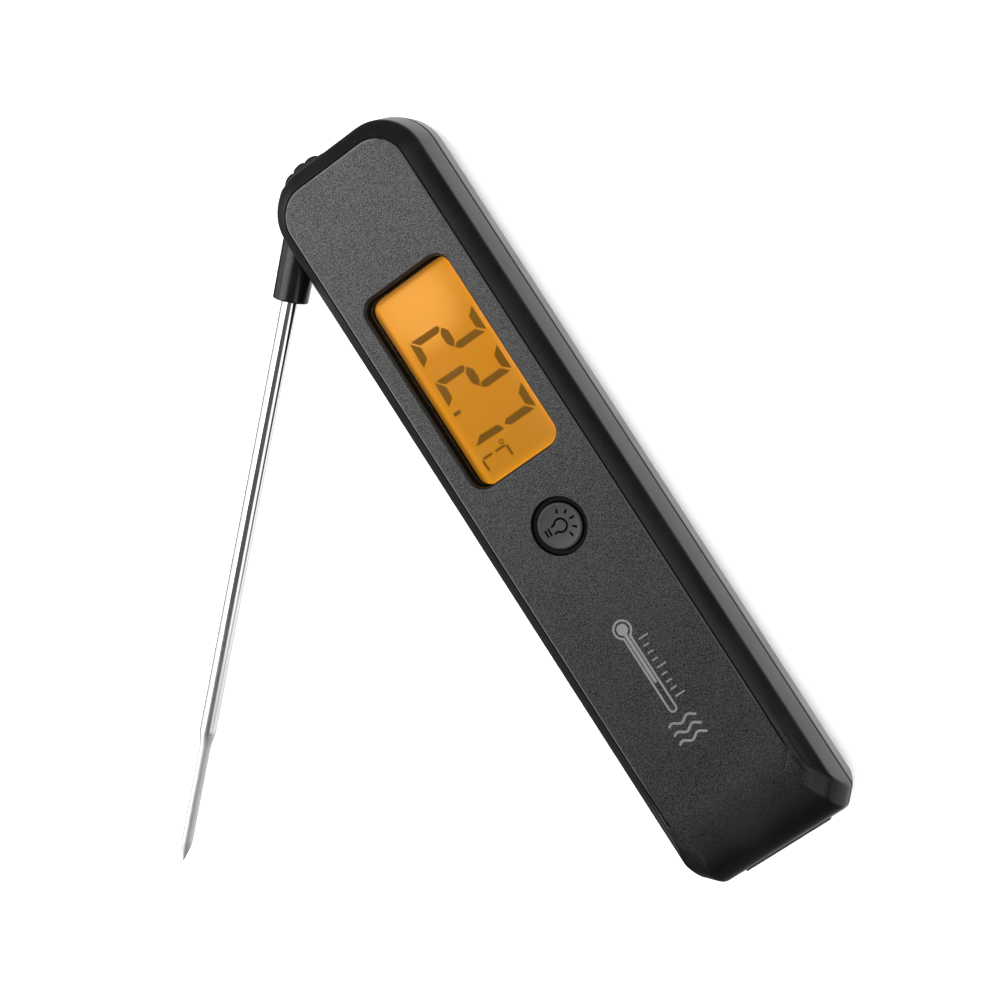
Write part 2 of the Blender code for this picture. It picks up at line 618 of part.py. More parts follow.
def power():
    end = CELL_START + CELL_LENGTH
    lying = Matrix.Translation((0, 0, CELL_Z)) @ Matrix.Rotation(radians(-90), 4, "X")
    profile = [
        (0, end), (NUB_RADIUS, end), (NUB_RADIUS, end - NUB_HEIGHT), (CELL_RADIUS - 0.65, end - NUB_HEIGHT),
        (CELL_RADIUS, end - NUB_HEIGHT - 0.5),
        (CELL_RADIUS, CELL_START + 0.5), (CELL_RADIUS - 0.5, CELL_START), (0, CELL_START),
    ]
    turned("battery_cell", profile, lying, M["cell"], steps=28)
    side = (-PLATE_HALF, PLATE_HALF)
    back = SPRING_START - 0.5
    box("spring_plate", side, (back - PLATE_THICK, back), (CELL_Z - 3.2, CELL_Z + 4.2), M["contact"])
    front = end + 0.3
    box("plus_contact", side, (front, front + PLATE_THICK), (CELL_Z - 4.2, CELL_Z + 4.2), M["contact"])
    length = CELL_START - 0.5 - SPRING_START
    points = []
    steps = int(SPRING_TURNS * 14)
    for k in range(steps + 1):
        part = k / steps
        angle = 2 * pi * SPRING_TURNS * part
        radius = 3.4 - 1.2 * part
        points.append((radius * cos(angle), SPRING_START + length * part, CELL_Z + radius * sin(angle)))
    wire("battery_spring", points, SPRING_WIRE, M["contact"])
    plus = smooth_path([(4.9, end + 0.5, 11.6), (7.3, end + 0.9, 13.6),
                        (7.7, -21.5, 14.8), (5.0, -17.2, 13.2)])
    wire("wire_plus", plus, LEAD_RADIUS, M["wire_red"])
    minus = smooth_path([(5.1, -73.9, 12.0), (7.8, -70.0, 14.2), (8.6, -48.0, 14.6),
                         (9.2, -28.0, 14.4), (8.8, -19.5, 13.8), (8.4, -17.2, 13.2)])
    wire("wire_minus", minus, LEAD_RADIUS, M["wire_black"])


# ---------------------------------------------------------------- probe

def probe_frame():
    """Placement with its origin at the pivot's foot on the probe's centre line, and +Z towards the tip."""
    fold = Matrix.Rotation(radians(-OPEN_ANGLE), 4, "Z")
    axis = Matrix.Translation((*PIVOT, HINGE_Z)) @ fold @ Matrix.Translation((-ARM_OFFSET, 0, 0))
    return axis @ Matrix.Rotation(radians(90), 4, "X")


def along(frame, points):
    return [frame @ Vector(p) for p in points]


def rib_radius(angle):
    """Hub radius at an angle in degrees from +X: rounded ribs with narrow valleys."""
    nearest = min(RIB_ANGLES, key=lambda a: abs(a - angle))
    offset = abs(nearest - angle)
    if offset > RIB_PITCH / 2:
        return HUB_RADIUS
    return HUB_RADIUS + RIB_HEIGHT * sqrt(max(0.0, cos(radians(180 * offset / RIB_PITCH))))


def probe_hub(frame):
    step = RIB_PITCH / 6
    start = RIB_ANGLES[0] - RIB_PITCH / 2
    stop = RIB_ANGLES[-1] + RIB_PITCH / 2
    angles = [start + step * k for k in range(int(round((stop - start) / step)) + 1)]
    rest = 360 - (stop - start)
    plain_steps = 34
    angles += [stop + rest * k / plain_steps for k in range(1, plain_steps)]
    rings = []
    for z, shrink in ((-HUB_HALF, 0.4), (0.4 - HUB_HALF, 0.0), (HUB_HALF - 0.4, 0.0), (HUB_HALF, 0.4)):
        rings.append([
            (PIVOT[0] + (rib_radius(a) - shrink) * cos(radians(a)),
             PIVOT[1] + (rib_radius(a) - shrink) * sin(radians(a)), HINGE_Z + z) for a in angles
        ])
    hub = loft("probe_hub", rings, M["hub"], smooth=True)
    arm_profile = [
        (0, ARM_END), (ARM_RADIUS - 0.35, ARM_END), (ARM_RADIUS, ARM_END - 0.35),
        (ARM_ROOT, 3.0), (0, 3.0),
    ]
    arm = turned("join_arm", arm_profile, frame, steps=28)
    boolean(hub, [arm], "UNION")
    hole_radius, hole_end = TUBE_RADIUS + 0.2, TUBE_START - 0.3
    tube_hole = turned("cut_tube_hole", [(0, ARM_END + 2), (hole_radius, ARM_END + 2),
                                         (hole_radius, hole_end), (0, hole_end)], frame)
    lead_hole = turned("cut_lead_hole", [(0, TUBE_START), (0.8, TUBE_START), (0.8, 0.8), (0, 0.8)],
                       frame, steps=12)
    coil = turned("cut_coil_recess", [(8.0, 4.0), (8.0, 1.4), (4.2, 1.4), (4.2, 4.0)],
                  Matrix.Translation((*PIVOT, HINGE_Z)), steps=32)
    lead_drop = cylinder("cut_lead_drop", drop_point(frame), (HINGE_Z - 0.6, HINGE_Z + 2.0), 0.8, sides=12)
    bore = cylinder("cut_hub_bore", PIVOT, (0, THICKNESS), PIN_RADIUS + 0.2, sides=24)
    magnet = cylinder("cut_hub_magnet", magnet_place(), (HINGE_Z - 5, HINGE_Z - 1.6), 1.7, sides=20)
    return boolean(hub, [tube_hole, lead_hole, coil, lead_drop, bore, magnet])


def drop_point(frame):
    point = frame @ Vector((0, 0, LEAD_DROP))
    return (point.x, point.y)


def magnet_place():
    """The hub's magnet sits on the far side from the arm."""
    angle = radians(-OPEN_ANGLE - 20)
    return (PIVOT[0] + HUB_MAGNET_REACH * cos(angle), PIVOT[1] + HUB_MAGNET_REACH * sin(angle))


def probe_tube(frame):
    """Stepped tube, closed at its point and open at the hub end, as one turned wall."""
    bore, fine = TUBE_RADIUS - 0.4, NEEDLE_RADIUS - 0.45
    outside = [
        (TUBE_RADIUS, TUBE_START), (TUBE_RADIUS, NECK_START), (NEEDLE_RADIUS, NECK_END),
        (NEEDLE_RADIUS, POINT_START), (0.6, POINT_START + 2.5), (0.0, TIP),
    ]
    inside = [
        (0.0, POINT_START - 0.6), (fine, POINT_START - 1.0), (fine, NECK_END),
        (bore, NECK_START - 0.4), (bore, TUBE_START),
    ]
    return turned("probe_tube", open_profile(outside, inside), frame, M["probe"], steps=24)


def open_profile(outside, inside):
    """Profile from the point up the outside and back down the bore, top first."""
    return [*reversed(outside), *reversed(inside)]


def probe_inside(frame):
    bead = [(0, 131.0), (0.45, 130.6), (0.45, 127.8), (0, 127.4)]
    turned("thermistor_bead", bead, frame, M["bead"], steps=12)
    lead = along(frame, [(0, 0, 127.0), (0, 0, 60), (0, 0, 12), (0, 0, 4.0), (0, 0, 2.1)])
    centre = Vector((*PIVOT, HINGE_Z))
    start = frame @ Vector((0, 0, LEAD_DROP)) - centre
    radius = start.to_2d().length
    angle = atan2(start.y, start.x)
    lead += [centre + start + Vector((0, 0, 0.5)), centre + start + Vector((0, 0, 2.0))]
    for k in range(2, 26):
        turn = angle + 2 * pi * 0.8 * k / 24
        reach = radius + (6.0 - radius) * min(1.0, k / 6)
        lead.append(centre + Vector((reach * cos(turn), reach * sin(turn), 2.3)))
    wire("probe_lead", lead, 0.35, M["wire_black"])
    cylinder("hub_magnet", magnet_place(), (HINGE_Z - 3.2, HINGE_Z - 1.8), 1.5, M["magnet"], sides=20)


def hinge():
    low, high = HINGE_Z - POCKET_HALF, HINGE_Z + POCKET_HALF
    head, end = PIN_Z
    pin = [(0, end), (PIN_RADIUS, end - 0.4), (PIN_RADIUS, PIN_SHOULDER), (PIN_HEAD, PIN_SHOULDER),
           (PIN_HEAD, head), (0, head)]
    turned("hinge_pin", pin, Matrix.Translation((*PIVOT, 0)), M["steel_dull"], steps=24)
    inner = PIN_RADIUS + 0.25
    for name, bottom in (("wave_washer", low + 0.15), ("front_washer", high - 0.15 - WASHER_THICK)):
        top = bottom + WASHER_THICK
        ring = [(inner, top), (WASHER_RADIUS, top), (WASHER_RADIUS, bottom), (inner, bottom)]
        turned(name, ring, Matrix.Translation((*PIVOT, 0)), M["washer"], steps=24)


def body_lead():
    """The lead from the hinge to the board, inside the front shell."""
    x, y = LEAD_HOLE
    path = smooth_path([(x, y, 13.1), (x, y, 14.8), (1.5, 63.0, 15.6), (2.2, 57.5, 15.0),
                        (1.6, 54.2, 13.9), (1.4, 52.6, 12.95)])
    wire("body_lead", path, LEAD_RADIUS, M["wire_black"])


# ---------------------------------------------------------------- build

def make_materials():
    return {
        "case": material("case_front", (0.045, 0.045, 0.047), 0.55),
        "rear": material("case_rear", (0.05, 0.05, 0.052), 0.5),
        "seal": material("black_rubber", (0.008, 0.008, 0.008), 0.7),
        "screw": material("screw_steel", (0.35, 0.35, 0.36), 0.35, 1.0),
        "magnet": material("nickel_magnet", (0.6, 0.6, 0.6), 0.25, 1.0),
        "clear": material("clear_window", (0.95, 0.95, 0.95), 0.03, alpha=0.2),
        "glass": material("lcd_orange", (0.85, 0.42, 0.08), 0.2),
        "frame": material("black_frame", (0.015, 0.015, 0.015), 0.6),
        "guide": material("light_guide", (0.9, 0.85, 0.75), 0.3),
        "led": material("led_body", (0.85, 0.75, 0.4), 0.4),
        "zebra": material("zebra_rubber", (0.55, 0.25, 0.3), 0.7),
        "board": material("circuit_board", (0.02, 0.16, 0.06), 0.45),
        "chip": material("black_epoxy", (0.02, 0.02, 0.022), 0.5),
        "plunger": material("switch_plunger", (0.3, 0.3, 0.28), 0.5),
        "button": material("button_rubber", (0.05, 0.05, 0.052), 0.5),
        "cell": material("battery_jacket", (0.12, 0.12, 0.13), 0.35, 0.3),
        "contact": material("nickel_contact", (0.7, 0.68, 0.62), 0.3, 1.0),
        "wire_red": material("red_insulation", (0.5, 0.02, 0.02), 0.5),
        "wire_black": material("black_insulation", (0.02, 0.02, 0.02), 0.5),
        "hub": material("hub_plastic", (0.02, 0.02, 0.021), 0.42),
        "probe": material("polished_steel", (0.78, 0.78, 0.79), 0.12, 1.0),
        "bead": material("sensor_glass", (0.2, 0.08, 0.04), 0.2),
        "steel_dull": material("dull_steel", (0.5, 0.5, 0.51), 0.35, 1.0),
        "washer": material("spring_steel", (0.55, 0.55, 0.54), 0.3, 1.0),
    }


def build():
    slot, housing = slot_cutters(), slot_housing()
    front_shell(slot, housing)
    rear_shell(slot, housing)
    gasket()
    battery_door()
    fasteners()
    display()
    electronics()
    tact_switch()
    button()
    power()
    frame = probe_frame()
    probe_hub(frame)
    probe_tube(frame)
    probe_inside(frame)
    hinge()
    body_lead()


clear_scene()
PARTS = new_collection("folding_thermometer")
CUTTERS = new_collection("cutters")
M = make_materials()
build()
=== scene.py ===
"""Looks for the folding food thermometer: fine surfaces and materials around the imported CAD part.

Lengths here are millimetres in the part's own frame and become metres where a mesh is made.
+X is the reader's right, +Y the hinge end and +Z the outward normal of the front panel.
"""

import json
from math import asin, cos, pi, radians, sin, sqrt, tan

import bmesh
import bpy
from mathutils import Matrix, Vector


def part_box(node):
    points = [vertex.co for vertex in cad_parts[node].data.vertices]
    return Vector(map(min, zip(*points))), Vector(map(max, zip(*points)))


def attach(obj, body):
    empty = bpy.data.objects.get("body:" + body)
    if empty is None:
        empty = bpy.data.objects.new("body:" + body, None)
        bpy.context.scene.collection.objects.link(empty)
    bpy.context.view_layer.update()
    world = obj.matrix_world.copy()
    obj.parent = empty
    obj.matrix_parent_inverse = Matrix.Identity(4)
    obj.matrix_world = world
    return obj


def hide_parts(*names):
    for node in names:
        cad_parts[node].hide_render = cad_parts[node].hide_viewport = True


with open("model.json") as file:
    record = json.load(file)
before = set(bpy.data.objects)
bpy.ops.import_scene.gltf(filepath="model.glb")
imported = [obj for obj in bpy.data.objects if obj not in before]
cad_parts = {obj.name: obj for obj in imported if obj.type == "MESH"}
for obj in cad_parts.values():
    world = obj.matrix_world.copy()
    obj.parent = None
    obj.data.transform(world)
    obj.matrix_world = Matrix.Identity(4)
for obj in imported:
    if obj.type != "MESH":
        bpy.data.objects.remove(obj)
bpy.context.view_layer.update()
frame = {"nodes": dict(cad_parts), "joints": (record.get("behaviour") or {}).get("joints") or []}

MM = 0.001
TOOLS = []  # cutters still in the scene
MATERIALS = {}


def node_box(name):
    """A CAD node's lowest and highest corners, in millimetres."""
    low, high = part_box(name)
    return low / MM, high / MM


def centre_of(name):
    """The middle of a CAD node's box, seen from the front."""
    low, high = node_box(name)
    middle = (low + high) / 2
    return middle.x, middle.y


def centres_of(name, count):
    return [centre_of(f"{name}_{k}") for k in range(1, count + 1)]


# ---------------------------------------------------------------- places read from the frame

FRONT_LOW, FRONT_HIGH = node_box("front_shell")
LENS_LOW, LENS_HIGH = node_box("display_lens")
GLASS_TOP = node_box("lcd_glass")[1].z
CAP_TOP = node_box("button_cap")[1].z
FOLD = next(joint for joint in frame["joints"] if joint["name"] == "probe_fold")

THICKNESS = FRONT_HIGH.z
END_Y = FRONT_LOW.y
PIVOT = (FOLD["pos_m"][0] / MM, FOLD["pos_m"][1] / MM)
HINGE_Z = FOLD["pos_m"][2] / MM
OPEN_ANGLE = -FOLD["range_deg"][0]
BUTTON = centre_of("button_cap")
WINDOW = centre_of("display_lens")
SCREWS = centres_of("case_screw", 4)
BOARD_SCREWS = centres_of("board_screw", 2)
MAGNETS = centres_of("back_magnet", 2)

# ---------------------------------------------------------------- sizes of the fine surfaces

PARTING_DEPTH = 11.0  # from the front panel to the line between the two shells
FRONT_CREASE = 3.87
REAR_CREASE = 15.85
HALF_PARTING = 17.62
HALF_FRONT_CREASE = 17.135
HALF_REAR_CREASE = 17.3
HALF_PANEL = 14.25
HALF_BACK = 14.0
PANEL_STEP = 0.25
TOP_Y = 80.0
TOP_CORNER = 9.55
CHAMFER = 3.2
CHAMFER_FILLET = 1.7
FRONT_NOSE = 15.0
FRONT_END = (FRONT_NOSE, PARTING_DEPTH)  # length and depth of the rounded battery end
REAR_END = (12.0, THICKNESS - PARTING_DEPTH)
WALL = 1.8
SHELL_GAP = 0.25
EDGE_ROUND = 0.34  # radius of the shells' edges along the parting line
CREASE_ROUND = 0.4
BEVEL_SLOPE = 0.7  # of the bevel's mean slope, where it meets the side wall
GROOVE = 0.34  # depth of the fine groove around the grained panel
LIP = 0.16  # chamfer along the slot's lips
CORNER_STEPS = 28
FILLET_STEPS = 10
SIDE_STEPS = 36

ARM_OFFSET = 6.6
ARM_RADIUS = 3.6
ARM_ROOT = 3.75
ARM_END = 19.4
TUBE_START = 9.5
NECK_START = 108.3
NECK_END = 112.4
POINT_START = 132.2
TIP = 136.7
TUBE_RADIUS = 1.75
NEEDLE_RADIUS = 1.2
HUB_RADIUS = 11.3
RIB_HEIGHT = 0.5
RIB_PITCH = 16.0
RIB_ANGLES = [47.4 + RIB_PITCH * k for k in range(6)]
HUB_HALF = 3.3
PIN_RADIUS = 1.5
PIN_BORE = PIN_RADIUS + 0.2

POCKET_RADIUS = 12.2
POCKET_HALF = 4.0
SLOT_INNER_X = -9.5
TUBE_SLOT_HALF = 2.7
ARM_SLOT_Y = 47.0
SLOT_END_Y = -68.5
SLOT_WALL = 1.1
OPEN_SLOT_X = 3.6

WINDOW_HALF = (10.05, 21.3)
WINDOW_LIP = 0.7
SKIRT_Z = 15.9
SKIRT_WALL = 1.2
BAY_WALLS = ((-77.0, -75.6), (-24.3, -23.0))  # ribs across the battery bay, along Y
BORE_RADIUS = 5.66
CAP_RADIUS = 4.6
ICON_LINE = 0.42
DOOR_HALF = 9.95
DOOR_Y = -22.0  # the door's inner end
DOOR_GAP = 0.25
RAIL_END_Y = -65.0
DOOR_WALL = 1.6
DOOR_START = PARTING_DEPTH + 0.44  # depth of the upper edge of its end wall
DOOR_LIP = 0.4
SCREW_HEAD = 1.5
MAGNET_RADIUS = 5.0
BOARD_TOP = 12.4
LEAD_HOLE = (-1.0, 69.5)
LEAD_DROP = 1.6


# ---------------------------------------------------------------- mesh helpers

def add_object(name, data):
    obj = bpy.data.objects.new(name, data)
    bpy.context.scene.collection.objects.link(obj)
    return obj


def add_piece(name, bm, materials, sharp=32.0):
    """An object from a bmesh in millimetres, shaded smooth with its sharp edges kept."""
    bmesh.ops.scale(bm, vec=(MM, MM, MM), verts=bm.verts)
    bmesh.ops.recalc_face_normals(bm, faces=bm.faces)
    mesh = bpy.data.meshes.new(name)
    bm.to_mesh(mesh)
    bm.free()
    for mat in materials:
        mesh.materials.append(mat)
    obj = add_object(name, mesh)
    shade(obj, sharp)
    return obj


def shade(obj, sharp=32.0):
    obj.data.shade_smooth()
    obj.data.set_sharp_from_angle(angle=radians(sharp))


def weight_normals(obj):
    """Flat faces keep their own shading where they meet small rounds."""
    modifier = obj.modifiers.new("face_weight", "WEIGHTED_NORMAL")
    modifier.keep_sharp = True
    modifier.weight = 80


def carve(obj, tools, operation="DIFFERENCE"):
    """Cut obj with closed tools, which stay in the scene until clear_tools."""
    for tool in tools:
        modifier = obj.modifiers.new(tool.name, "BOOLEAN")
        modifier.object = tool
        modifier.operation = operation
        modifier.solver = "EXACT"
        if tool not in TOOLS:
            TOOLS.append(tool)
    graph = bpy.context.evaluated_depsgraph_get()
    mesh = bpy.data.meshes.new_from_object(obj.evaluated_get(graph))
    obj.modifiers.clear()
    obj.data = mesh
    return obj


def clear_tools():
    for tool in TOOLS:
        bpy.data.objects.remove(tool)
    TOOLS.clear()


def loft(name, rings, materials=(), sharp=32.0):
    """A closed solid through rings of equally many points, with flat ends."""
    bm = bmesh.new()
    rows = [[bm.verts.new(p) for p in ring] for ring in rings]
    count = len(rows[0])
    for lower, upper in zip(rows, rows[1:]):
        for k in range(count):
            n = (k + 1) % count
            bm.faces.new((lower[k], lower[n], upper[n], upper[k]))
    bm.faces.new(rows[0])
    bm.faces.new(rows[-1])
    return add_piece(name, bm, materials, sharp)


def box(name, x, y, z, radius=0.0):
    bm = bmesh.new()
    bmesh.ops.create_cube(bm, size=1.0)
    sizes = [high - low for low, high in (x, y, z)]
    middle = [(high + low) / 2 for low, high in (x, y, z)]
    bmesh.ops.transform(bm, matrix=Matrix.Diagonal((*sizes, 1.0)), verts=bm.verts)
    if radius:
        upright = [e for e in bm.edges if abs(e.verts[0].co.z - e.verts[1].co.z) > 1e-6]
        bmesh.ops.bevel(bm, geom=upright, offset=radius, segments=8, profile=0.5, affect="EDGES")
    bmesh.ops.translate(bm, vec=middle, verts=bm.verts)
    return add_piece(name, bm, ())


def turned(name, profile, place, materials=(), steps=64, sharp=32.0):
    """A turned solid from a profile of (radius, height) points that starts and ends on the axis.

    place is a matrix, or a point in plan for an upright axis.
    """
    if not isinstance(place, Matrix):
        place = Matrix.Translation((*place, 0))
    bm = bmesh.new()
    verts = [bm.verts.new((r, 0.0, h)) for r, h in profile]
    edges = [bm.edges.new(pair) for pair in zip(verts, verts[1:])]
    if profile[0][0] > 0:
        edges.append(bm.edges.new((verts[-1], verts[0])))
    bmesh.ops.spin(bm, geom=verts + edges, cent=(0, 0, 0), axis=(0, 0, 1), angle=2 * pi, steps=steps)
    bmesh.ops.remove_doubles(bm, verts=bm.verts, dist=1e-4)
    bmesh.ops.transform(bm, matrix=place, verts=bm.verts)
    return add_piece(name, bm, materials, sharp)


def post(name, centre, z, radius, steps=48):
    """A straight round tool between two heights."""
    return turned(name, [(0, z[1]), (radius, z[1]), (radius, z[0]), (0, z[0])], centre, steps=steps)


def posts(name, centres, z, radius, steps=48):
    return [post(f"{name}_{k}", centre, z, radius, steps) for k, centre in enumerate(centres)]


def quarter(steps):
    """Even angles over a quarter turn, in radians."""
    return [pi / 2 * k / steps for k in range(steps + 1)]


def arc(centre, radius, start, stop, steps):
    """Points round a centre, from one angle in degrees to another."""
    angles = [radians(start + (stop - start) * k / steps) for k in range(steps + 1)]
    return [(centre[0] + radius * cos(a), centre[1] + radius * sin(a)) for a in angles]


def smoothstep(low, high, value):
    part = min(1.0, max(0.0, (value - low) / (high - low)))
    return part * part * (3 - 2 * part)


# ---------------------------------------------------------------- case surfaces

def outline(half, top, end, radius, height):
    """Plan outline with round corners at the hinge end and filleted chamfers at the battery end.

    height gives a point's z from its y.
    """
    soft = CHAMFER_FILLET
    corners = [
        (half, top, radius, CORNER_STEPS, 3),
        (-half, top, radius, CORNER_STEPS, SIDE_STEPS),
        (-half, end + CHAMFER, soft, FILLET_STEPS, 0),
        (CHAMFER - half, end, soft, FILLET_STEPS, 5),
        (half - CHAMFER, end, soft, FILLET_STEPS, 0),
        (half, end + CHAMFER, soft, FILLET_STEPS, SIDE_STEPS),
    ]
    arcs = []
    for k, (x, y, fillet, steps, _) in enumerate(corners):
        corner = Vector((x, y))
        before = (Vector(corners[k - 1][:2]) - corner).normalized()
        after = (Vector(corners[(k + 1) % len(corners)][:2]) - corner).normalized()
        half_angle = before.angle(after) / 2
        middle = corner + (before + after).normalized() * fillet / sin(half_angle)
        arm = corner + before * fillet / tan(half_angle) - middle
        turn = pi - 2 * half_angle
        arcs.append([middle + Matrix.Rotation(turn * n / steps, 2) @ arm for n in range(steps + 1)])
    points = []
    for k, corner in enumerate(corners):
        points += arcs[k]
        start, stop = arcs[k][-1], arcs[(k + 1) % len(corners)][0]
        inner = corner[4]
        points += [start.lerp(stop, n / (inner + 1)) for n in range(1, inner + 1)]
    return [(p.x, p.y, height(p.y)) for p in points]


def front_half(depth):
    part = (depth - FRONT_CREASE) / (PARTING_DEPTH - FRONT_CREASE)
    if part >= 0:
        return HALF_FRONT_CREASE + part * (HALF_PARTING - HALF_FRONT_CREASE)
    part = min(1.0, (FRONT_CREASE - depth) / (FRONT_CREASE - PANEL_STEP))
    bend = BEVEL_SLOPE * part + (1 - BEVEL_SLOPE) * part ** 2
    return HALF_FRONT_CREASE - (HALF_FRONT_CREASE - HALF_PANEL) * bend


def rear_half(depth):
    if depth <= REAR_CREASE:
        part = (depth - PARTING_DEPTH) / (REAR_CREASE - PARTING_DEPTH)
        return HALF_PARTING + part * (HALF_REAR_CREASE - HALF_PARTING)
    part = (depth - REAR_CREASE) / (THICKNESS - REAR_CREASE)
    return HALF_REAR_CREASE - (HALF_REAR_CREASE - HALF_BACK) * part ** 1.15


def crease(half, depth, toward):
    """Rows of a softened crease; toward is +1 where depth grows towards the crease."""
    start, stop = depth - toward * CREASE_ROUND, depth + toward * CREASE_ROUND
    first, middle, last = (Vector((half(d), d)) for d in (start, depth, stop))
    rows = []
    for k in range(6):
        t = k / 5
        point = first * (1 - t) ** 2 + middle * 2 * t * (1 - t) + last * t * t
        rows.append((point.x, point.y, 0.0, 0.0))
    return rows


def parting_edge(half, toward):
    """Rows of the small round where a shell ends at the parting line."""
    rows = []
    for turn in quarter(4):
        depth = PARTING_DEPTH + toward * (SHELL_GAP + EDGE_ROUND * (1 - cos(turn)))
        rows.append((half(depth), depth, EDGE_ROUND * (1 - sin(turn)), 0.0))
    return rows


def plain_profile(half, depths):
    return [(half(d), d, 0.0, 0.0) for d in depths]


def front_profile():
    """Rows (half width, depth, edge inset, groove dip) from the parting line to the panel."""
    rows = parting_edge(front_half, -1)
    rows += plain_profile(front_half, (9.5, 8.0, 6.4, 5.2))
    rows += crease(front_half, FRONT_CREASE, -1)
    last = FRONT_CREASE - CREASE_ROUND
    bevel_end = PANEL_STEP + 0.06
    rows += plain_profile(front_half, (last + (bevel_end - last) * (k / 12) ** 0.8 for k in range(1, 13)))
    rim = [(0.09, 0.26, 0.0), (0.04, 0.245, 0.7), (-0.04, 0.23, 1.0), (-0.12, 0.2, 0.9),
           (-0.17, 0.13, 0.3), (-0.26, 0.07, 0.0), (-0.42, 0.02, 0.0), (-0.65, 0.0, 0.0)]
    rows += [(HALF_PANEL + out, depth, 0.0, GROOVE * dip) for out, depth, dip in rim]
    return rows


def rear_profile():
    rows = parting_edge(rear_half, 1)
    rows += plain_profile(rear_half, (12.4, 13.6, 14.6))
    rows += crease(rear_half, REAR_CREASE, 1)
    first = REAR_CREASE + CREASE_ROUND
    depths = [first + (THICKNESS - first) * sin(turn) for turn in quarter(14)[1:]]
    return rows + plain_profile(rear_half, depths)


def rolled_panel(y):
    """Height of the panel's surface where it rolls over at the battery end."""
    part = min(1.0, max(0.0, 1 - (y - END_Y) / FRONT_NOSE))
    return THICKNESS - PARTING_DEPTH * (1 - sqrt(1 - part ** 2))


def shell_rings(profile, nose_length, nose_depth, inset=0.0, shift=0.0):
    """Outlines of one shell, drawn in by inset, with the battery end moved out by shift."""
    rings = []
    for half, depth, edge, dip in profile:
        reach = abs(depth - PARTING_DEPTH) / nose_depth
        nose = nose_length * (1 - sqrt(max(0.0, 1 - reach ** 2)))
        grow = half - HALF_FRONT_CREASE
        draw = inset + edge
        top = TOP_Y + grow * (1.0 if grow > 0 else 1.2) - draw
        lift = min(1.0, 2.0 * reach) * inset
        z = THICKNESS - depth + (lift if depth > PARTING_DEPTH else -lift)
        end = END_Y + nose + draw - shift * (1 - reach)

        blend = 0.0 if inset else 1 - smoothstep(PANEL_STEP, 2.2, depth)

        def height(y, z=z, dip=dip, blend=blend, end=end):
            flat = smoothstep(END_Y + FRONT_NOSE, END_Y + FRONT_NOSE + 10, y)
            grooved = smoothstep(end + 0.3 * CHAMFER, end + 1.3 * CHAMFER, y)
            return z - dip * grooved + (rolled_panel(y) - z) * blend * (1 - flat)

        rings.append(outline(half - draw, top, end, TOP_CORNER + grow - draw, height))
    return rings


def cavity(name, front, inset, shift=0.0):
    """The hollow of one shell, open past the parting line."""
    half, end = (front_half, FRONT_END) if front else (rear_half, REAR_END)
    toward = -1 if front else 1
    depths = [PARTING_DEPTH - toward]
    depths += [PARTING_DEPTH + toward * end[1] * sin(turn) for turn in quarter(12)[1:]]
    return loft(name, shell_rings(plain_profile(half, depths), *end, inset, shift))


def slot_tools():
    """The space the probe folds into, open along the left side and over the hinge end."""
    low, high = HINGE_Z - POCKET_HALF, HINGE_Z + POCKET_HALF
    tube = (HINGE_Z - TUBE_SLOT_HALF, HINGE_Z + TUBE_SLOT_HALF)
    return [
        post("cut_hub_pocket", PIVOT, (low, high), POCKET_RADIUS, 120),
        box("cut_arm_slot", (-22, SLOT_INNER_X), (ARM_SLOT_Y, PIVOT[1]), (low, high)),
        box("cut_tube_slot", (-22, SLOT_INNER_X), (SLOT_END_Y, ARM_SLOT_Y + 1), tube),
        box("cut_open_slot", (PIVOT[0], OPEN_SLOT_X), (PIVOT[1], TOP_Y + 5), (low, high)),
    ]


def slot_housing():
    """Walls around the probe's slot, kept when a shell is hollowed out."""
    low, high = HINGE_Z - POCKET_HALF - SLOT_WALL, HINGE_Z + POCKET_HALF + SLOT_WALL
    tube = (HINGE_Z - TUBE_SLOT_HALF - SLOT_WALL, HINGE_Z + TUBE_SLOT_HALF + SLOT_WALL)
    inner = SLOT_INNER_X + SLOT_WALL
    return [
        post("keep_hub", PIVOT, (low, high), POCKET_RADIUS + SLOT_WALL, 96),
        box("keep_arm", (-25, inner), (ARM_SLOT_Y - SLOT_WALL, PIVOT[1]), (low, high)),
        box("keep_tube", (-25, inner), (SLOT_END_Y - SLOT_WALL, ARM_SLOT_Y), tube),
        box("keep_top", (PIVOT[0], OPEN_SLOT_X + SLOT_WALL), (PIVOT[1], TOP_Y + 5), (low, high)),
    ]


def lip_tool(name, z, up):
    """A bar that chamfers the slot's lip where it meets the outer wall; up is +1 on the front shell."""
    depth = THICKNESS - z
    half = front_half(depth) if up > 0 else rear_half(depth)
    grow = half - HALF_FRONT_CREASE
    ring = outline(half, TOP_Y + grow, END_Y, TOP_CORNER + grow, lambda y: z)
    wide = abs(z - HINGE_Z) > TUBE_SLOT_HALF + 0.1
    low, high = (ARM_SLOT_Y, TOP_Y + 5) if wide else (SLOT_END_Y, ARM_SLOT_Y)
    path = [Vector(p[:2]) for p in ring if p[0] < OPEN_SLOT_X and low < p[1] < high and
            (p[0] < SLOT_INNER_X or p[1] > PIVOT[1])]
    if wide:
        path.insert(0, Vector((OPEN_SLOT_X, path[0].y)))
    else:
        path.insert(0, Vector((path[0].x, high)))
    path.append(Vector((path[-1].x, low)))
    rings = []
    for k, point in enumerate(path):
        ahead = path[min(k + 1, len(path) - 1)] - path[max(k - 1, 0)]
        out = Vector((ahead.y, -ahead.x)).normalized()
        over = 0.1
        section = [(over, LIP + over), (-LIP - over, -over), (over, -over)]
        rings.append([(point.x + out.x * n, point.y + out.y * n, z + up * h) for n, h in section])
    return loft(name, rings)


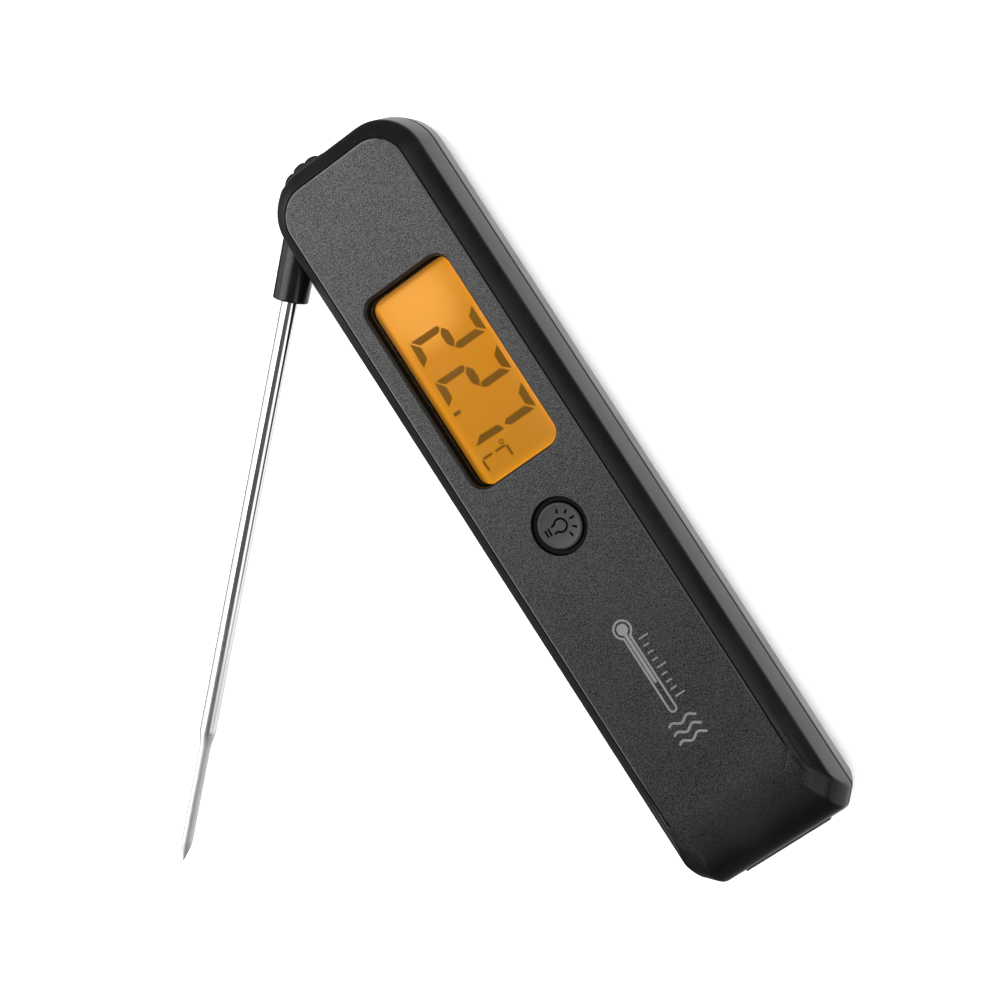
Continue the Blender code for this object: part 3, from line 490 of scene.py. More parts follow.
def rounded(x, y, half_x, half_y, radius, z, steps=10):
    """A rounded rectangle around (x, y), counter-clockwise."""
    points = []
    for quarter, (sx, sy) in enumerate(((1, 1), (-1, 1), (-1, -1), (1, -1))):
        centre = (x + sx * (half_x - radius), y + sy * (half_y - radius))
        turn = arc(centre, radius, 90 * quarter, 90 * quarter + 90, steps)
        points += [(px, py, z) for px, py in turn]
    return points


def window_tool():
    """The window's opening, with a rolled lip at the panel and walls that draw in towards the glass."""
    x, y = WINDOW
    half_x, half_y = WINDOW_HALF
    rings = [rounded(x, y, half_x + WINDOW_LIP, half_y + WINDOW_LIP, 3.0 + WINDOW_LIP, THICKNESS + 1)]
    for turn in quarter(8):
        out = WINDOW_LIP * (1 - sin(turn))
        z = THICKNESS - WINDOW_LIP * (1 - cos(turn))
        rings.append(rounded(x, y, half_x + out, half_y + out, 3.0 + out, z))
    rings.append(rounded(x, y, half_x - 0.35, half_y - 0.35, 2.7, SKIRT_Z - 1))
    return loft("cut_window", rings)


def bore_tool():
    """The button's bore with a small rolled lip."""
    lip = 0.2
    profile = [(0, THICKNESS + 1), (BORE_RADIUS + lip, THICKNESS + 1)]
    profile += [(BORE_RADIUS + lip * (1 - sin(turn)), THICKNESS - lip * (1 - cos(turn)))
                for turn in quarter(5)]
    return turned("cut_button", [*profile, (BORE_RADIUS, 16.5), (0, 16.5)], BUTTON, steps=96)


def front_casing():
    hollow = cavity("cavity_front", True, WALL)
    x, y = WINDOW
    out_x, out_y = (half + SKIRT_WALL for half in WINDOW_HALF)
    keep = [*slot_housing(),
            box("keep_skirt", (x - out_x, x + out_x), (y - out_y, y + out_y), (SKIRT_Z, THICKNESS), 3.5),
            *posts("keep_boss", SCREWS, (HINGE_Z + SHELL_GAP, THICKNESS), 2.4),
            *posts("keep_board_boss", BOARD_SCREWS, (BOARD_TOP + 0.2, THICKNESS), 2.1),
            post("keep_pin_boss", PIVOT, (HINGE_Z, THICKNESS), 3.4)]
    keep += [box(f"keep_wall_{k}", (-6.5, 6.5), y, (HINGE_Z - 2, THICKNESS))
             for k, y in enumerate(BAY_WALLS)]
    carve(hollow, keep)
    notch = box("cut_door_notch", (-10.1, 10.1), (END_Y - 2, END_Y + 0.7), (HINGE_Z - 1, HINGE_Z + 0.75))
    cut = [hollow, *slot_tools(), window_tool(), bore_tool(),
           *posts("cut_hole", SCREWS, (HINGE_Z - 1, 14.5), 1.2, 24),
           *posts("cut_board_hole", BOARD_SCREWS, (BOARD_TOP - 1, 16.6), 1.0, 24),
           post("cut_pin", PIVOT, (HINGE_Z, 16.6), PIN_BORE, 32),
           post("cut_lead", LEAD_HOLE, (HINGE_Z + 2, 14.6), 1.0, 24),
           notch, *lip_tools(1)]
    return cut_shell("front_casing", shell_rings(front_profile(), *FRONT_END), "front", cut)


def rear_casing():
    hollow = cavity("cavity_rear", False, WALL)
    keep = [*slot_housing(), *posts("keep_boss", SCREWS, (-1, HINGE_Z - SHELL_GAP), 2.7),
            *posts("keep_magnet", MAGNETS, (-1, 3.8), MAGNET_RADIUS + 1.4),
            post("keep_pin", PIVOT, (-1, HINGE_Z), 4.4)]
    keep += [box(f"keep_rail_{k}", x, (RAIL_END_Y, DOOR_Y + 1), (-1, 3.4))
             for k, x in enumerate(((-11.8, -7.6), (7.6, 11.8)))]
    keep.append(box("keep_ledge", (-11.8, 11.8), (DOOR_Y - 1.5, DOOR_Y + 1.8), (-1, 3.4)))
    carve(hollow, keep)
    side = (-DOOR_HALF - DOOR_GAP, DOOR_HALF + DOOR_GAP)
    cut = [hollow, *slot_tools(),
           box("cut_door_floor", side, (END_Y - 2, DOOR_Y + DOOR_GAP), (-1, 2.0)),
           box("cut_door_end", side, (END_Y - 2, RAIL_END_Y), (-1, HINGE_Z + 1)),
           *posts("cut_hole", SCREWS, (0, HINGE_Z + 1), 1.25, 24),
           *posts("cut_head", SCREWS, (-1, 2.4), SCREW_HEAD + 0.3, 40),
           *[flared(f"cut_magnet_{k}", xy, MAGNET_RADIUS + 0.2, 2.7) for k, xy in enumerate(MAGNETS)],
           post("cut_pin", PIVOT, (0, HINGE_Z), PIN_BORE, 32),
           flared("cut_pin_head", PIVOT, 3.1, 2.2), *lip_tools(-1)]
    return cut_shell("rear_casing", shell_rings(rear_profile(), *REAR_END), "rear", cut)


def cut_shell(name, rings, finish, cut):
    return shaded_cut(loft(name, rings, [MATERIALS[finish]]), cut)


def shaded_cut(obj, cut, sharp=32.0):
    """Cut a piece of the case or the hub, and keep its flat faces flat to the eye."""
    carve(obj, cut)
    shade(obj, sharp)
    weight_normals(obj)
    return obj


def lip_tools(up):
    return [lip_tool("cut_lip_arm", HINGE_Z + up * POCKET_HALF, up),
            lip_tool("cut_lip_tube", HINGE_Z + up * TUBE_SLOT_HALF, up)]


def flared(name, centre, radius, top):
    """A round pocket from the back face with a chamfered mouth."""
    mouth = 0.25
    return turned(name, [(0, top), (radius, top), (radius, mouth), (radius + mouth, 0.0),
                         (radius + mouth, -1.0), (0, -1.0)], centre)


# ---------------------------------------------------------------- other fine pieces

def battery_cover():
    """The sliding cover, with grip ribs and a slide arrow sunk into its outer face."""
    rows = [(half, depth, 0.0, 0.0) for half, depth, *_ in rear_profile() if depth > DOOR_START]
    door = loft("door_cover", shell_rings(rows, *REAR_END, 0.0, DOOR_LIP), [MATERIALS["rear"]])
    limits = box("door_limits", (-DOOR_HALF, DOOR_HALF), (END_Y - 3, DOOR_Y), (-2, HINGE_Z + 2))
    carve(door, [limits], "INTERSECT")
    hollow = cavity("cut_door_hollow", False, DOOR_WALL, DOOR_LIP)
    guides = [box(f"keep_guide_{k}", x, (-69, DOOR_Y - 3), (-2, 3.0))
              for k, x in enumerate(((-7.2, -6.4), (6.4, 7.2)))]
    carve(hollow, guides)
    grooves = [box(f"cut_grip_{k}", (-5.5, 5.5), (y - 0.35, y + 0.35), (-1, 0.35))
               for k, y in enumerate(range(-36, -29))]
    arrow = prisms("cut_arrow", [[(-3.2, -39.5), (0, -43.5), (3.2, -39.5)]], (-1, 0.3), ())
    return shaded_cut(door, [hollow, *grooves, arrow])


def extrude(bm, loop, z):
    """A closed prism over a plan loop."""
    rows = [[bm.verts.new((x, y, h)) for x, y in loop] for h in z]
    count = len(loop)
    for k in range(count):
        n = (k + 1) % count
        bm.faces.new((rows[0][k], rows[0][n], rows[1][n], rows[1][k]))
    bm.faces.new(rows[0][::-1])
    bm.faces.new(rows[1])


def prisms(name, loops, z, materials):
    bm = bmesh.new()
    for loop in loops:
        extrude(bm, loop, z)
    return add_piece(name, bm, materials)


def bands(name, pairs, z, materials):
    """Closed flat rings, each between an outer and an inner loop of equally many points."""
    bm = bmesh.new()
    for outer, inner in pairs:
        rows = [[bm.verts.new((x, y, h)) for x, y in loop]
                for h, loop in ((z[0], outer), (z[1], outer), (z[1], inner), (z[0], inner))]
        count = len(outer)
        for lower, upper in zip(rows, rows[1:] + rows[:1]):
            for k in range(count):
                n = (k + 1) % count
                bm.faces.new((lower[k], lower[n], upper[n], upper[k]))
    return add_piece(name, bm, materials)


def stroke(points, width):
    """The loop around an open line of the given width."""
    points = [Vector(p) for p in points]
    sides = ([], [])
    for k, point in enumerate(points):
        ahead = points[min(k + 1, len(points) - 1)] - points[max(k - 1, 0)]
        out = Vector((ahead.y, -ahead.x)).normalized() * width / 2
        sides[0].append(tuple(point + out))
        sides[1].append(tuple(point - out))
    return sides[0] + sides[1][::-1]


def lamp_icon():
    """Loops of the light symbol: a bulb, its base and five rays."""
    bulb = [(-1.65, -5.32), (-1.05, -5.22), *arc((0.2, -5.97), 1.3, 146, -146, 36),
            (-1.1, -6.78), (-1.75, -6.74)]
    base = [[(-2.37, -5.1), (-2.37, -6.8)], [(-3.1, -5.2), (-3.1, -6.75)]]
    rays = [[(1.27, -2.91), (0.84, -3.78)], [(2.83, -4.02), (2.13, -4.56)],
            [(3.5, -5.9), (2.45, -5.91)], [(2.87, -7.99), (2.17, -7.33)],
            [(1.22, -8.94), (1.04, -8.02)]]
    return [stroke(line, ICON_LINE) for line in (bulb, *base, *rays)]


def button_top():
    """The cap with a raised, rounded rim and the light symbol sunk into its top."""
    top, soft = CAP_TOP, 0.45
    rim = [(CAP_RADIUS - soft + soft * sin(a), top - soft + soft * cos(a)) for a in quarter(8)]
    profile = [(0, top - 0.1), (CAP_RADIUS - 1.0, top - 0.1), (CAP_RADIUS - 0.8, top - 0.06),
               (CAP_RADIUS - 0.62, top - 0.015), *rim, (CAP_RADIUS, 17.2), (6.2, 17.2), (6.2, 16.3),
               (1.6, 16.3), (1.6, 15.4), (0, 15.4)]
    cap = turned("button_top", profile, BUTTON, [MATERIALS["button"]], 128)
    carve(cap, [prisms(f"cut_icon_{k}", [loop], (top - 0.26, top + 1), ())
                for k, loop in enumerate(lamp_icon())])
    shade(cap)
    return cap


def window():
    """The clear window with softened edges."""
    half_x, half_y = (LENS_HIGH.x - LENS_LOW.x) / 2, (LENS_HIGH.y - LENS_LOW.y) / 2
    height, soft = LENS_HIGH.z - LENS_LOW.z, 0.4
    steps = [(-0.25, 0.0), (-0.05, 0.2), (0.0, height - soft)]
    steps += [(-soft * (1 - cos(a)), height - soft + soft * sin(a)) for a in quarter(6)[1:]]
    rings = [rounded(*WINDOW, half_x + out, half_y + out, 2.6, LENS_LOW.z + h, 16) for out, h in steps]
    return loft("window_pane", rings, [MATERIALS["lens"]], 60)


DIGIT_STARTS = (38.89, 29.9, 21.28)  # left end of each digit's top segment, along Y
SEGMENTS = {
    "a": [(0.0, 7.75), (5.42, 7.75), (3.95, 6.13), (1.45, 6.13)],
    "b": [(5.64, 7.23), (5.64, 1.47), (4.81, 0.37), (4.09, 1.12), (4.07, 5.77)],
    "c": [(5.25, -7.02), (5.5, -0.52), (5.22, -0.17), (4.03, -0.93), (3.8, -5.17)],
    "d": [(-0.88, -7.14), (4.52, -7.32), (3.39, -5.68), (0.94, -5.54)],
    "e": [(-0.98, -6.79), (0.56, -5.39), (0.63, -0.81), (-0.2, -0.13), (-0.76, -0.51)],
    "g": [(0.03, 0.13), (1.22, 1.1), (3.5, 1.05), (4.6, 0.28), (3.32, -0.73), (1.04, -0.69)],
}
READING = ("abged", "abged", "abc")


def digits():
    """The lit reading: three digits, a decimal point and the degree sign with its unit."""
    loops = []
    for start, lit in zip(DIGIT_STARTS, READING):
        loops += [[(v, start - u) for u, v in SEGMENTS[name]] for name in lit]
    loops.append([(-7.37, 23.85), (-7.37, 23.1), (-5.75, 23.1), (-5.75, 23.85)])
    unit = ([(-1.6, 13.0), (-1.57, 10.74)], [(-1.9, 13.12), (-4.18, 13.18)],
            [(-4.99, 13.24), (-7.16, 13.3)], [(-7.4, 13.1), (-7.36, 10.76)])
    loops += [stroke(line, 0.5) for line in unit]
    z = (GLASS_TOP + 0.01, GLASS_TOP + 0.05)
    shown = prisms("lcd_digits", loops, z, [MATERIALS["segment"]])
    degree = [arc((-2.14, 14.1), radius, 0, 345, 23) for radius in (0.55, 0.3)]
    return [shown, bands("lcd_degree", [degree], z, [MATERIALS["segment"]])]


def pictogram():
    """A neutral printed symbol on the panel: a thermometer with a scale, and rising heat."""
    z = (THICKNESS - 0.01, THICKNESS + 0.03)
    mid, stem, bulb, line = -0.6, 0.95, 2.0, 0.42
    start, end = -29.0, -46.5
    outer = thermometer_loop(mid, start, end, bulb, stem)
    inner = thermometer_loop(mid, start, end, bulb - line, stem - line)
    frames = bands("print_outline", [(outer, inner)], z, [MATERIALS["print"]])
    loops = [thermometer_loop(mid, start, end + 6.0, bulb - 0.85, stem - 0.62)]
    for k in range(9):
        y, x = start - 3.2 - 1.6 * k, mid + 1.75
        far = x + (2.2 if k % 4 == 0 else 1.3)
        loops.append([(x, y + 0.15), (x, y - 0.15), (far, y - 0.15), (far, y + 0.15)])
    for k in range(3):
        y = -49.4 - 1.9 * k
        wave = [(-3.4 + 6.2 * n / 24, y + 0.42 * sin(2 * pi * n / 14)) for n in range(25)]
        loops.append(stroke(wave, 0.5))
    return [frames, prisms("print_filled", loops, z, [MATERIALS["print"]])]


def thermometer_loop(x, start, end, bulb, stem):
    """A ball at start joined to a round-ended stem that runs to end."""
    opening = asin(stem / bulb) * 180 / pi
    ball = arc((x, start), bulb, opening - 90, 270 - opening, 40)
    return ball + arc((x, end), stem, 180, 360, 20)


def probe_frame():
    """Placement at the pivot's foot on the probe's centre line, with +Z towards the tip."""
    fold = Matrix.Rotation(radians(-OPEN_ANGLE), 4, "Z")
    axis = Matrix.Translation((*PIVOT, HINGE_Z)) @ fold @ Matrix.Translation((-ARM_OFFSET, 0, 0))
    return axis @ Matrix.Rotation(radians(90), 4, "X")


def rib_radius(angle):
    """Hub radius at an angle in degrees from +X: rounded ribs with narrow valleys."""
    offset = min(abs(rib - angle) for rib in RIB_ANGLES)
    if offset > RIB_PITCH / 2:
        return HUB_RADIUS
    return HUB_RADIUS + RIB_HEIGHT * sqrt(max(0.0, cos(radians(180 * offset / RIB_PITCH))))


def hub():
    """The ribbed hub with its arm, bored for the pin, the tube, the lead and the magnet."""
    axis = probe_frame()
    step = RIB_PITCH / 14
    start, stop = RIB_ANGLES[0] - RIB_PITCH / 2, RIB_ANGLES[-1] + RIB_PITCH / 2
    angles = [start + step * k for k in range(int(round((stop - start) / step)) + 1)]
    rest = 360 - (stop - start)
    angles += [stop + rest * k / 120 for k in range(1, 120)]
    soft = 0.5
    rows = []
    for side in (-1, 1):
        part = [(HUB_HALF * side - side * soft * (1 - sin(a)), soft * (1 - cos(a))) for a in quarter(5)]
        rows += part[::-1] if side < 0 else part
    rings = [[(PIVOT[0] + (rib_radius(a) - shrink) * cos(radians(a)),
               PIVOT[1] + (rib_radius(a) - shrink) * sin(radians(a)), HINGE_Z + z) for a in angles]
             for z, shrink in rows]
    body = loft("hub_body", rings, [MATERIALS["hub"]])
    soft = 0.4
    rim = [(ARM_RADIUS - soft + soft * cos(a), ARM_END - soft + soft * sin(a)) for a in quarter(6)]
    arm = turned("join_arm", [(0, ARM_END), *rim[::-1], (ARM_ROOT, 3.0), (0, 3.0)], axis, steps=96)
    carve(body, [arm], "UNION")
    hole, mouth = TUBE_RADIUS + 0.2, 0.3
    tube_hole = [(0, ARM_END + 2), (hole + mouth, ARM_END + 2), (hole + mouth, ARM_END),
                 (hole, ARM_END - mouth), (hole, TUBE_START - 0.3), (0, TUBE_START - 0.3)]
    lead_hole = [(0, TUBE_START), (0.8, TUBE_START), (0.8, 0.8), (0, 0.8)]
    recess = [(8.0, 4.0), (8.0, 1.4), (4.2, 1.4), (4.2, 4.0)]
    drop = tuple((axis @ Vector((0, 0, LEAD_DROP)))[:2])
    return shaded_cut(body, [
        turned("cut_tube_hole", tube_hole, axis),
        turned("cut_lead_hole", lead_hole, axis, steps=24),
        turned("cut_coil_recess", recess, Matrix.Translation((*PIVOT, HINGE_Z))),
        post("cut_lead_drop", drop, (HINGE_Z - 0.6, HINGE_Z + 2.0), 0.8, 24),
        post("cut_hub_bore", PIVOT, (0, THICKNESS), PIN_BORE),
        post("cut_hub_magnet", centre_of("hub_magnet"), (HINGE_Z - 5, HINGE_Z - 1.6), 1.7),
    ], 38)


def probe_steel():
    """Stepped tube with a ground point, open at the hub end, as one turned wall."""
    bore, fine = TUBE_RADIUS - 0.4, NEEDLE_RADIUS - 0.45
    swell = [(NEEDLE_RADIUS + (TUBE_RADIUS - NEEDLE_RADIUS) * smoothstep(0, 1, 1 - k / 24)
              - (0.04 if 6 <= k <= 14 and k % 3 == 0 else 0.0),
              NECK_START + (NECK_END - NECK_START) * k / 24) for k in range(25)]
    point = [(NEEDLE_RADIUS * (1 - 0.46 * (k / 8) ** 1.6), POINT_START + 2.5 * k / 8) for k in range(9)]
    outside = [(TUBE_RADIUS, TUBE_START), *swell, *point, (0.09, TIP - 0.1), (0.0, TIP)]
    inside = [(0.0, POINT_START - 0.6), (fine, POINT_START - 1.0), (fine, NECK_END),
              (bore, NECK_START - 0.4), (bore, TUBE_START)]
    profile = [*reversed(outside), *reversed(inside)]
    return turned("probe_steel", profile, probe_frame(), [MATERIALS["probe"]], 96, 30)


def screw(name, node):
    """A pan-head screw seen from the back, with a cross recess."""
    low, high = node_box(node)
    x, y = centre_of(node)
    head = low.z
    dome = [(SCREW_HEAD * sin(a), head + 0.3 * (1 - cos(a))) for a in quarter(8)]
    profile = [(0, high.z), (0.95, high.z - 0.6), (0.95, head + 1.2), (SCREW_HEAD, head + 1.1),
               *dome[::-1]]
    piece = turned(name, profile, (x, y), [MATERIALS["screw"]], 48)
    carve(piece, [box(f"cut_cross_{k}", (x - w, x + w), (y - h, y + h), (head - 1, head + 0.75))
                  for k, (w, h) in enumerate(((0.85, 0.17), (0.17, 0.85)))])
    shade(piece)
    return piece


def pivot_pin():
    """The slotted screw that the probe turns on."""
    low, high = node_box("hinge_pin")
    head, (x, y) = low.z, PIVOT
    profile = [(0, high.z), (PIN_RADIUS - 0.3, high.z), (PIN_RADIUS, high.z - 0.4),
               (PIN_RADIUS, head + 1.4), (2.8, head + 1.4), (2.8, head + 0.3), (2.5, head), (0, head)]
    piece = turned("pivot_screw", profile, PIVOT, [MATERIALS["steel"]])
    carve(piece, [box("cut_slot", (x - 0.3, x + 0.3), (y - 4, y + 4), (head - 1, head + 0.6))])
    shade(piece)
    return piece


def magnet(name, node):
    low, high = node_box(node)
    soft = 0.25
    profile = [(0, high.z), (MAGNET_RADIUS - soft, high.z), (MAGNET_RADIUS, high.z - soft),
               (MAGNET_RADIUS, low.z + soft), (MAGNET_RADIUS - soft, low.z), (0, low.z)]
    return turned(name, profile, centre_of(node), [MATERIALS["magnet"]], 96)


# ---------------------------------------------------------------- materials

class Value:
    """A number or vector in a node tree. Arithmetic on it adds the nodes that work it out."""

    def __init__(self, nodes, socket):
        self.nodes, self.socket = nodes, socket

    def math(self, operation, other=0.0):
        return self.nodes.add("Math", {0: self, 1: other}, operation=operation)

    def __add__(self, other):
        return self.math("ADD", other)

    def __sub__(self, other):
        return self.math("SUBTRACT", other)

    def __mul__(self, other):
        return self.math("MULTIPLY", other)

    def __abs__(self):
        return self.math("ABSOLUTE")

    def max(self, other):
        return self.math("MAXIMUM", other)

    def remap(self, low, high, to_low=0.0, to_high=1.0, soft=True):
        return self.nodes.add("MapRange", {"Value": self, "From Min": low, "From Max": high,
                                           "To Min": to_low, "To Max": to_high},
                              interpolation_type="SMOOTHSTEP" if soft else "LINEAR")

    def line(self, low, high, to_low=0.0, to_high=1.0):
        return self.remap(low, high, to_low, to_high, False)

    def fall(self, low, high):
        return self.remap(low, high, 1.0, 0.0)

    def spread(self, low=0.0, high=1.0):
        """The range that a noise keeps to, from 0.3 to 0.7, spread from low to high."""
        return self.remap(0.3, 0.7, low, high)


class Nodes:
    """The node tree of a material or a world, built socket by socket."""

    def __init__(self, owner):
        owner.use_nodes = True
        self.tree = owner.node_tree

    def add(self, kind, inputs=None, output=0, **settings):
        """One output of a new node, with its inputs set or linked."""
        node = self.tree.nodes.new("ShaderNode" + kind)
        for key, value in settings.items():
            setattr(node, key, value)
        for key, value in (inputs or {}).items():
            self.feed(node.inputs[key], value)
        return Value(self, node.outputs[output])

    def feed(self, socket, value):
        if isinstance(value, Value):
            self.tree.links.new(value.socket, socket)
        else:
            socket.default_value = value


class Shader(Nodes):
    """A material. Its places are object coordinates in millimetres."""

    def __init__(self, name):
        self.mat = bpy.data.materials.new(name)
        super().__init__(self.mat)
        self.surface = self.tree.nodes["Principled BSDF"]
        place = self.add("TexCoord", output="Object")
        self.place = self.add("VectorMath", {0: place, 1: [1 / MM] * 3}, operation="MULTIPLY")

    def axes(self, place=None):
        """The X, Y and Z of a place."""
        parts = self.add("SeparateXYZ", {0: place or self.place}).socket.node
        return [Value(self, output) for output in parts.outputs]

    def scaled(self, scale, turn=0.0):
        turned_place = self.add("VectorRotate", {"Vector": self.place, "Angle": turn},
                                rotation_type="Z_AXIS")
        return self.add("VectorMath", {0: turned_place, 1: scale}, operation="MULTIPLY")

    def noise(self, size, detail=2.0, stretch=(1, 1, 1), turn=0.0):
        """Noise whose features are about size millimetres across, longer along a stretched axis."""
        place = self.scaled([1 / (size * k) for k in stretch], turn)
        return self.add("TexNoise", {"Vector": place, "Scale": 1.0, "Detail": detail})

    def mix(self, factor, first, second):
        """A mix of two colors."""
        return self.add("Mix", {0: factor, 6: first, 7: second}, 2, data_type="RGBA")

    def blend(self, factor, first, second):
        """A mix of two numbers."""
        return self.add("Mix", {0: factor, 2: first, 3: second})

    def relief(self, height, depth):
        """A surface normal from a height of 0 to 1 that stands for depth millimetres."""
        return self.add("Bump", {"Height": height, "Strength": 1.0, "Distance": depth * MM})

    def finish(self, color, roughness, height=None, depth=0.0, **inputs):
        """Feed the surface. Its relief is a height of 0 to 1 that stands for depth millimetres."""
        if height is not None:
            inputs["normal"] = self.relief(height, depth)
        for name, value in {"base_color": color, "roughness": roughness, **inputs}.items():
            name = name.replace("_", " ").title().replace("Ior", "IOR")
            self.feed(self.surface.inputs[name], value)
        return self.mat


def grey(value, warm=0.0):
    return (value * (1 + warm), value, value * (1 - warm), 1.0)


def rgb(red, green, blue):
    return (red, green, blue, 1.0)


def textured(name, dark, light, rough, size, depth, stretch=(1, 1, 1), turn=0.0, **more):
    """A finish with fine grain, broad colour variation, handling marks in the gloss and fine relief."""
    shader = Shader(name)
    grain, marks = shader.noise(size, 2.0, stretch, turn), shader.noise(9.0, 5.0)
    color = shader.mix((grain * 0.5 + marks * 0.5).spread(), dark, light)
    return shader.finish(color, marks.spread(*rough), grain, depth, **more)


def metal(*finish, **more):
    return textured(*finish, metallic=1.0, **more)


def front_plastic():
    """Black plastic: spark-eroded grain on the flat panel, smooth satin on the bevel and walls, with
    painted light: a lighter panel edge as painted highlight, the window's walls as painted shade, and the
    grain's shine fading towards the battery end as painted shade.
    """
    shader = Shader("front_plastic")
    across, along, height = shader.axes()
    side = abs(across)
    grain, fine, marks = shader.noise(0.21, 2.5), shader.noise(0.16, 1.0), shader.noise(11.0, 5.0)
    speck = grain.remap(0.36, 0.66)

    top, crease_z = THICKNESS, THICKNESS - FRONT_CREASE
    rolled = side.fall(HALF_PANEL - 0.4, HALF_PANEL - 0.1) * along.fall(END_Y + 20, END_Y + 24)
    panel = height.remap(top - 0.08, top - 0.02).max(rolled) * along.remap(END_Y + 2, END_Y + 17)
    edge = side.remap(11.9, 12.4).max(along.remap(TOP_Y - 5.5, TOP_Y - 5))
    # rim: band along the panel's raised edge. Its lighter colour is a painted highlight; its higher shine
    # and lower roughness are the material.
    rim = height.remap(top - 0.24, top - 0.14) * height.fall(top - 0.05, top - 0.005)
    rim = rim * edge * along.remap(END_Y + 20, END_Y + 28)
    # inside: the walls of the window's opening, set near black with no reflection as painted shade in the
    # recess.
    inside = side.fall(11.2, 11.6) * abs(along - WINDOW[1]).fall(22.4, 22.8)
    inside = inside * height.fall(top - 0.7, top - 0.3)

    color = shader.mix(speck * panel, grey(0.002), grey(0.014))
    color = shader.mix(marks.remap(0.35, 0.75) * 0.2, color, grey(0.012, 0.03))
    # Painted highlight along the panel's edge (rim), under painted shade on the window's walls (inside).
    color = shader.mix(inside, shader.mix(rim, color, grey(0.03)), grey(0.005))

    wall = height.line(top - PARTING_DEPTH, crease_z, 0.34, 0.17)
    bevel = height.line(crease_z - 0.2, top - 0.3, 0.26, 0.6)
    smooth = shader.blend(height.remap(crease_z - 0.4, crease_z + 0.3), wall, bevel)
    smooth = smooth * grain.line(0.3, 0.7, 0.7, 1.3)
    # The grain's shine halves from the window towards the battery end: a painted shade gradient down the
    # panel.
    grained = speck.line(0.0, 1.0, 0.3, 0.92) * along.line(END_Y, WINDOW[1], 0.5, 1.0)
    shine = shader.blend(rim, shader.blend(panel, smooth, grained), 1.0)
    gloss = panel.remap(0.0, 1.0, 0.33, 0.4) + marks.spread(-0.02, 0.03)
    # The edge band's shine and gloss are the material; the zero shine on the window's walls is painted
    # shade.
    return shader.finish(color, shader.blend(rim, gloss, 0.3), grain * panel + fine * 0.15, 0.04,
                         specular_ior_level=shader.blend(inside, shine, 0.0))


def cap_plastic():
    """Satin black cap; the floor of its sunk symbol is painted near black and unreflecting, as painted
    shade in the grooves.
    """
    shader = Shader("cap_plastic")
    # sunk masks the floor of the symbol's grooves, which gets painted shade: near-black colour and no
    # reflection.
    sunk = shader.axes()[2].fall(CAP_TOP - 0.22, CAP_TOP - 0.16)
    grain, marks = shader.noise(0.16, 2.0), shader.noise(4.0, 4.0)
    color = shader.mix(sunk, shader.mix(grain.spread(), grey(0.008), grey(0.018)), grey(0.001))
    return shader.finish(color, marks.spread(0.42, 0.5), grain, 0.014,
                         specular_ior_level=sunk.remap(0.0, 1.0, 0.44, 0.0))


def hub_plastic():
    """Satin black plastic, duller on the grip ribs."""
    shader = Shader("hub_plastic")
    grain, marks = shader.noise(0.25, 2.0), shader.noise(6.0, 4.0)
    ribs = shader.axes()[1].remap(PIVOT[1] + 2.0, PIVOT[1] + 5.0)
    shine = shader.blend(ribs, 0.42, 0.12) * grain.remap(0.35, 0.65, 0.75, 1.2)
    color = shader.mix(grain.spread(), grey(0.001), grey(0.004))
    return shader.finish(color, marks.spread(0.18, 0.26), grain, 0.006, specular_ior_level=shine)


def steel_tube():
    """Polished steel: fine lines along the tube, duller towards the hub and on the needle."""
    shader = Shader("polished_steel")
    turn = radians(OPEN_ANGLE)
    lines, marks = shader.noise(0.09, 2.0, (1, 220, 1), turn), shader.noise(6.0, 5.0)
    unfolded = shader.add("VectorRotate", {"Vector": shader.place, "Center": (*PIVOT, 0.0), "Angle": turn},
                          rotation_type="Z_AXIS")
    along = shader.axes(unfolded)[1]
    needle = along.fall(PIVOT[1] - NECK_END, PIVOT[1] - NECK_START)
    worn = along.remap(PIVOT[1] - NECK_START, PIVOT[1] - ARM_END - 35, 0.26, 0.0)
    color = shader.mix(lines.spread(), grey(0.8), grey(0.9, 0.01))
    gloss = marks.remap(0.35, 0.7, 0.05, 0.1) + worn + needle * 0.2
    return shader.finish(color, gloss, lines, 0.0012, metallic=1.0)


def glowing(shader, color, strength=1.0):
    """A nearly black surface that gives off its own light."""
    return shader.finish(grey(0.002), 0.4, specular_ior_level=0.02, emission_color=color,
                         emission_strength=strength)


def lit_glass():
    """Backlit display: orange that dims away from a warm spot, with a rim, and painted shadow of the bezel
    dimming its left and top edges.
    """
    shader = Shader("lit_glass")
    across, along, _ = shader.axes()
    across, along = across - WINDOW[0], along - WINDOW[1]
    rim = abs(across).remap(7.0, 9.4).max(abs(along).remap(19.0, 21.2))
    away = (across - -2.0).math("POWER", 2.0) + (along - 16.0).math("POWER", 2.0)
    cloud, cells = shader.noise(7.0, 3.0), shader.noise(0.25, 1.0, (1, 30, 1))
    color = shader.mix(along.line(-21.0, 21.0), rgb(0.55, 0.22, 0.005), rgb(0.74, 0.28, 0.012))
    color = shader.mix(away.fall(0.0, 125.0), color, rgb(0.98, 0.43, 0.065))
    color = shader.mix(cloud.remap(0.3, 0.8, 0.0, 0.15), color, rgb(0.68, 0.27, 0.01))
    color = shader.mix(cells * 0.06, color, rgb(0.4, 0.16, 0.008))
    color = shader.mix(rim * 0.5, color, rgb(1.0, 0.38, 0.02))
    # Glow strength drops along the left and top edges: painted shadow of the bezel on the display.
    return glowing(shader, color, across.remap(-9.8, -8.5, 0.3, 1.0) * along.remap(19.6, 21.0, 1.0, 0.35))


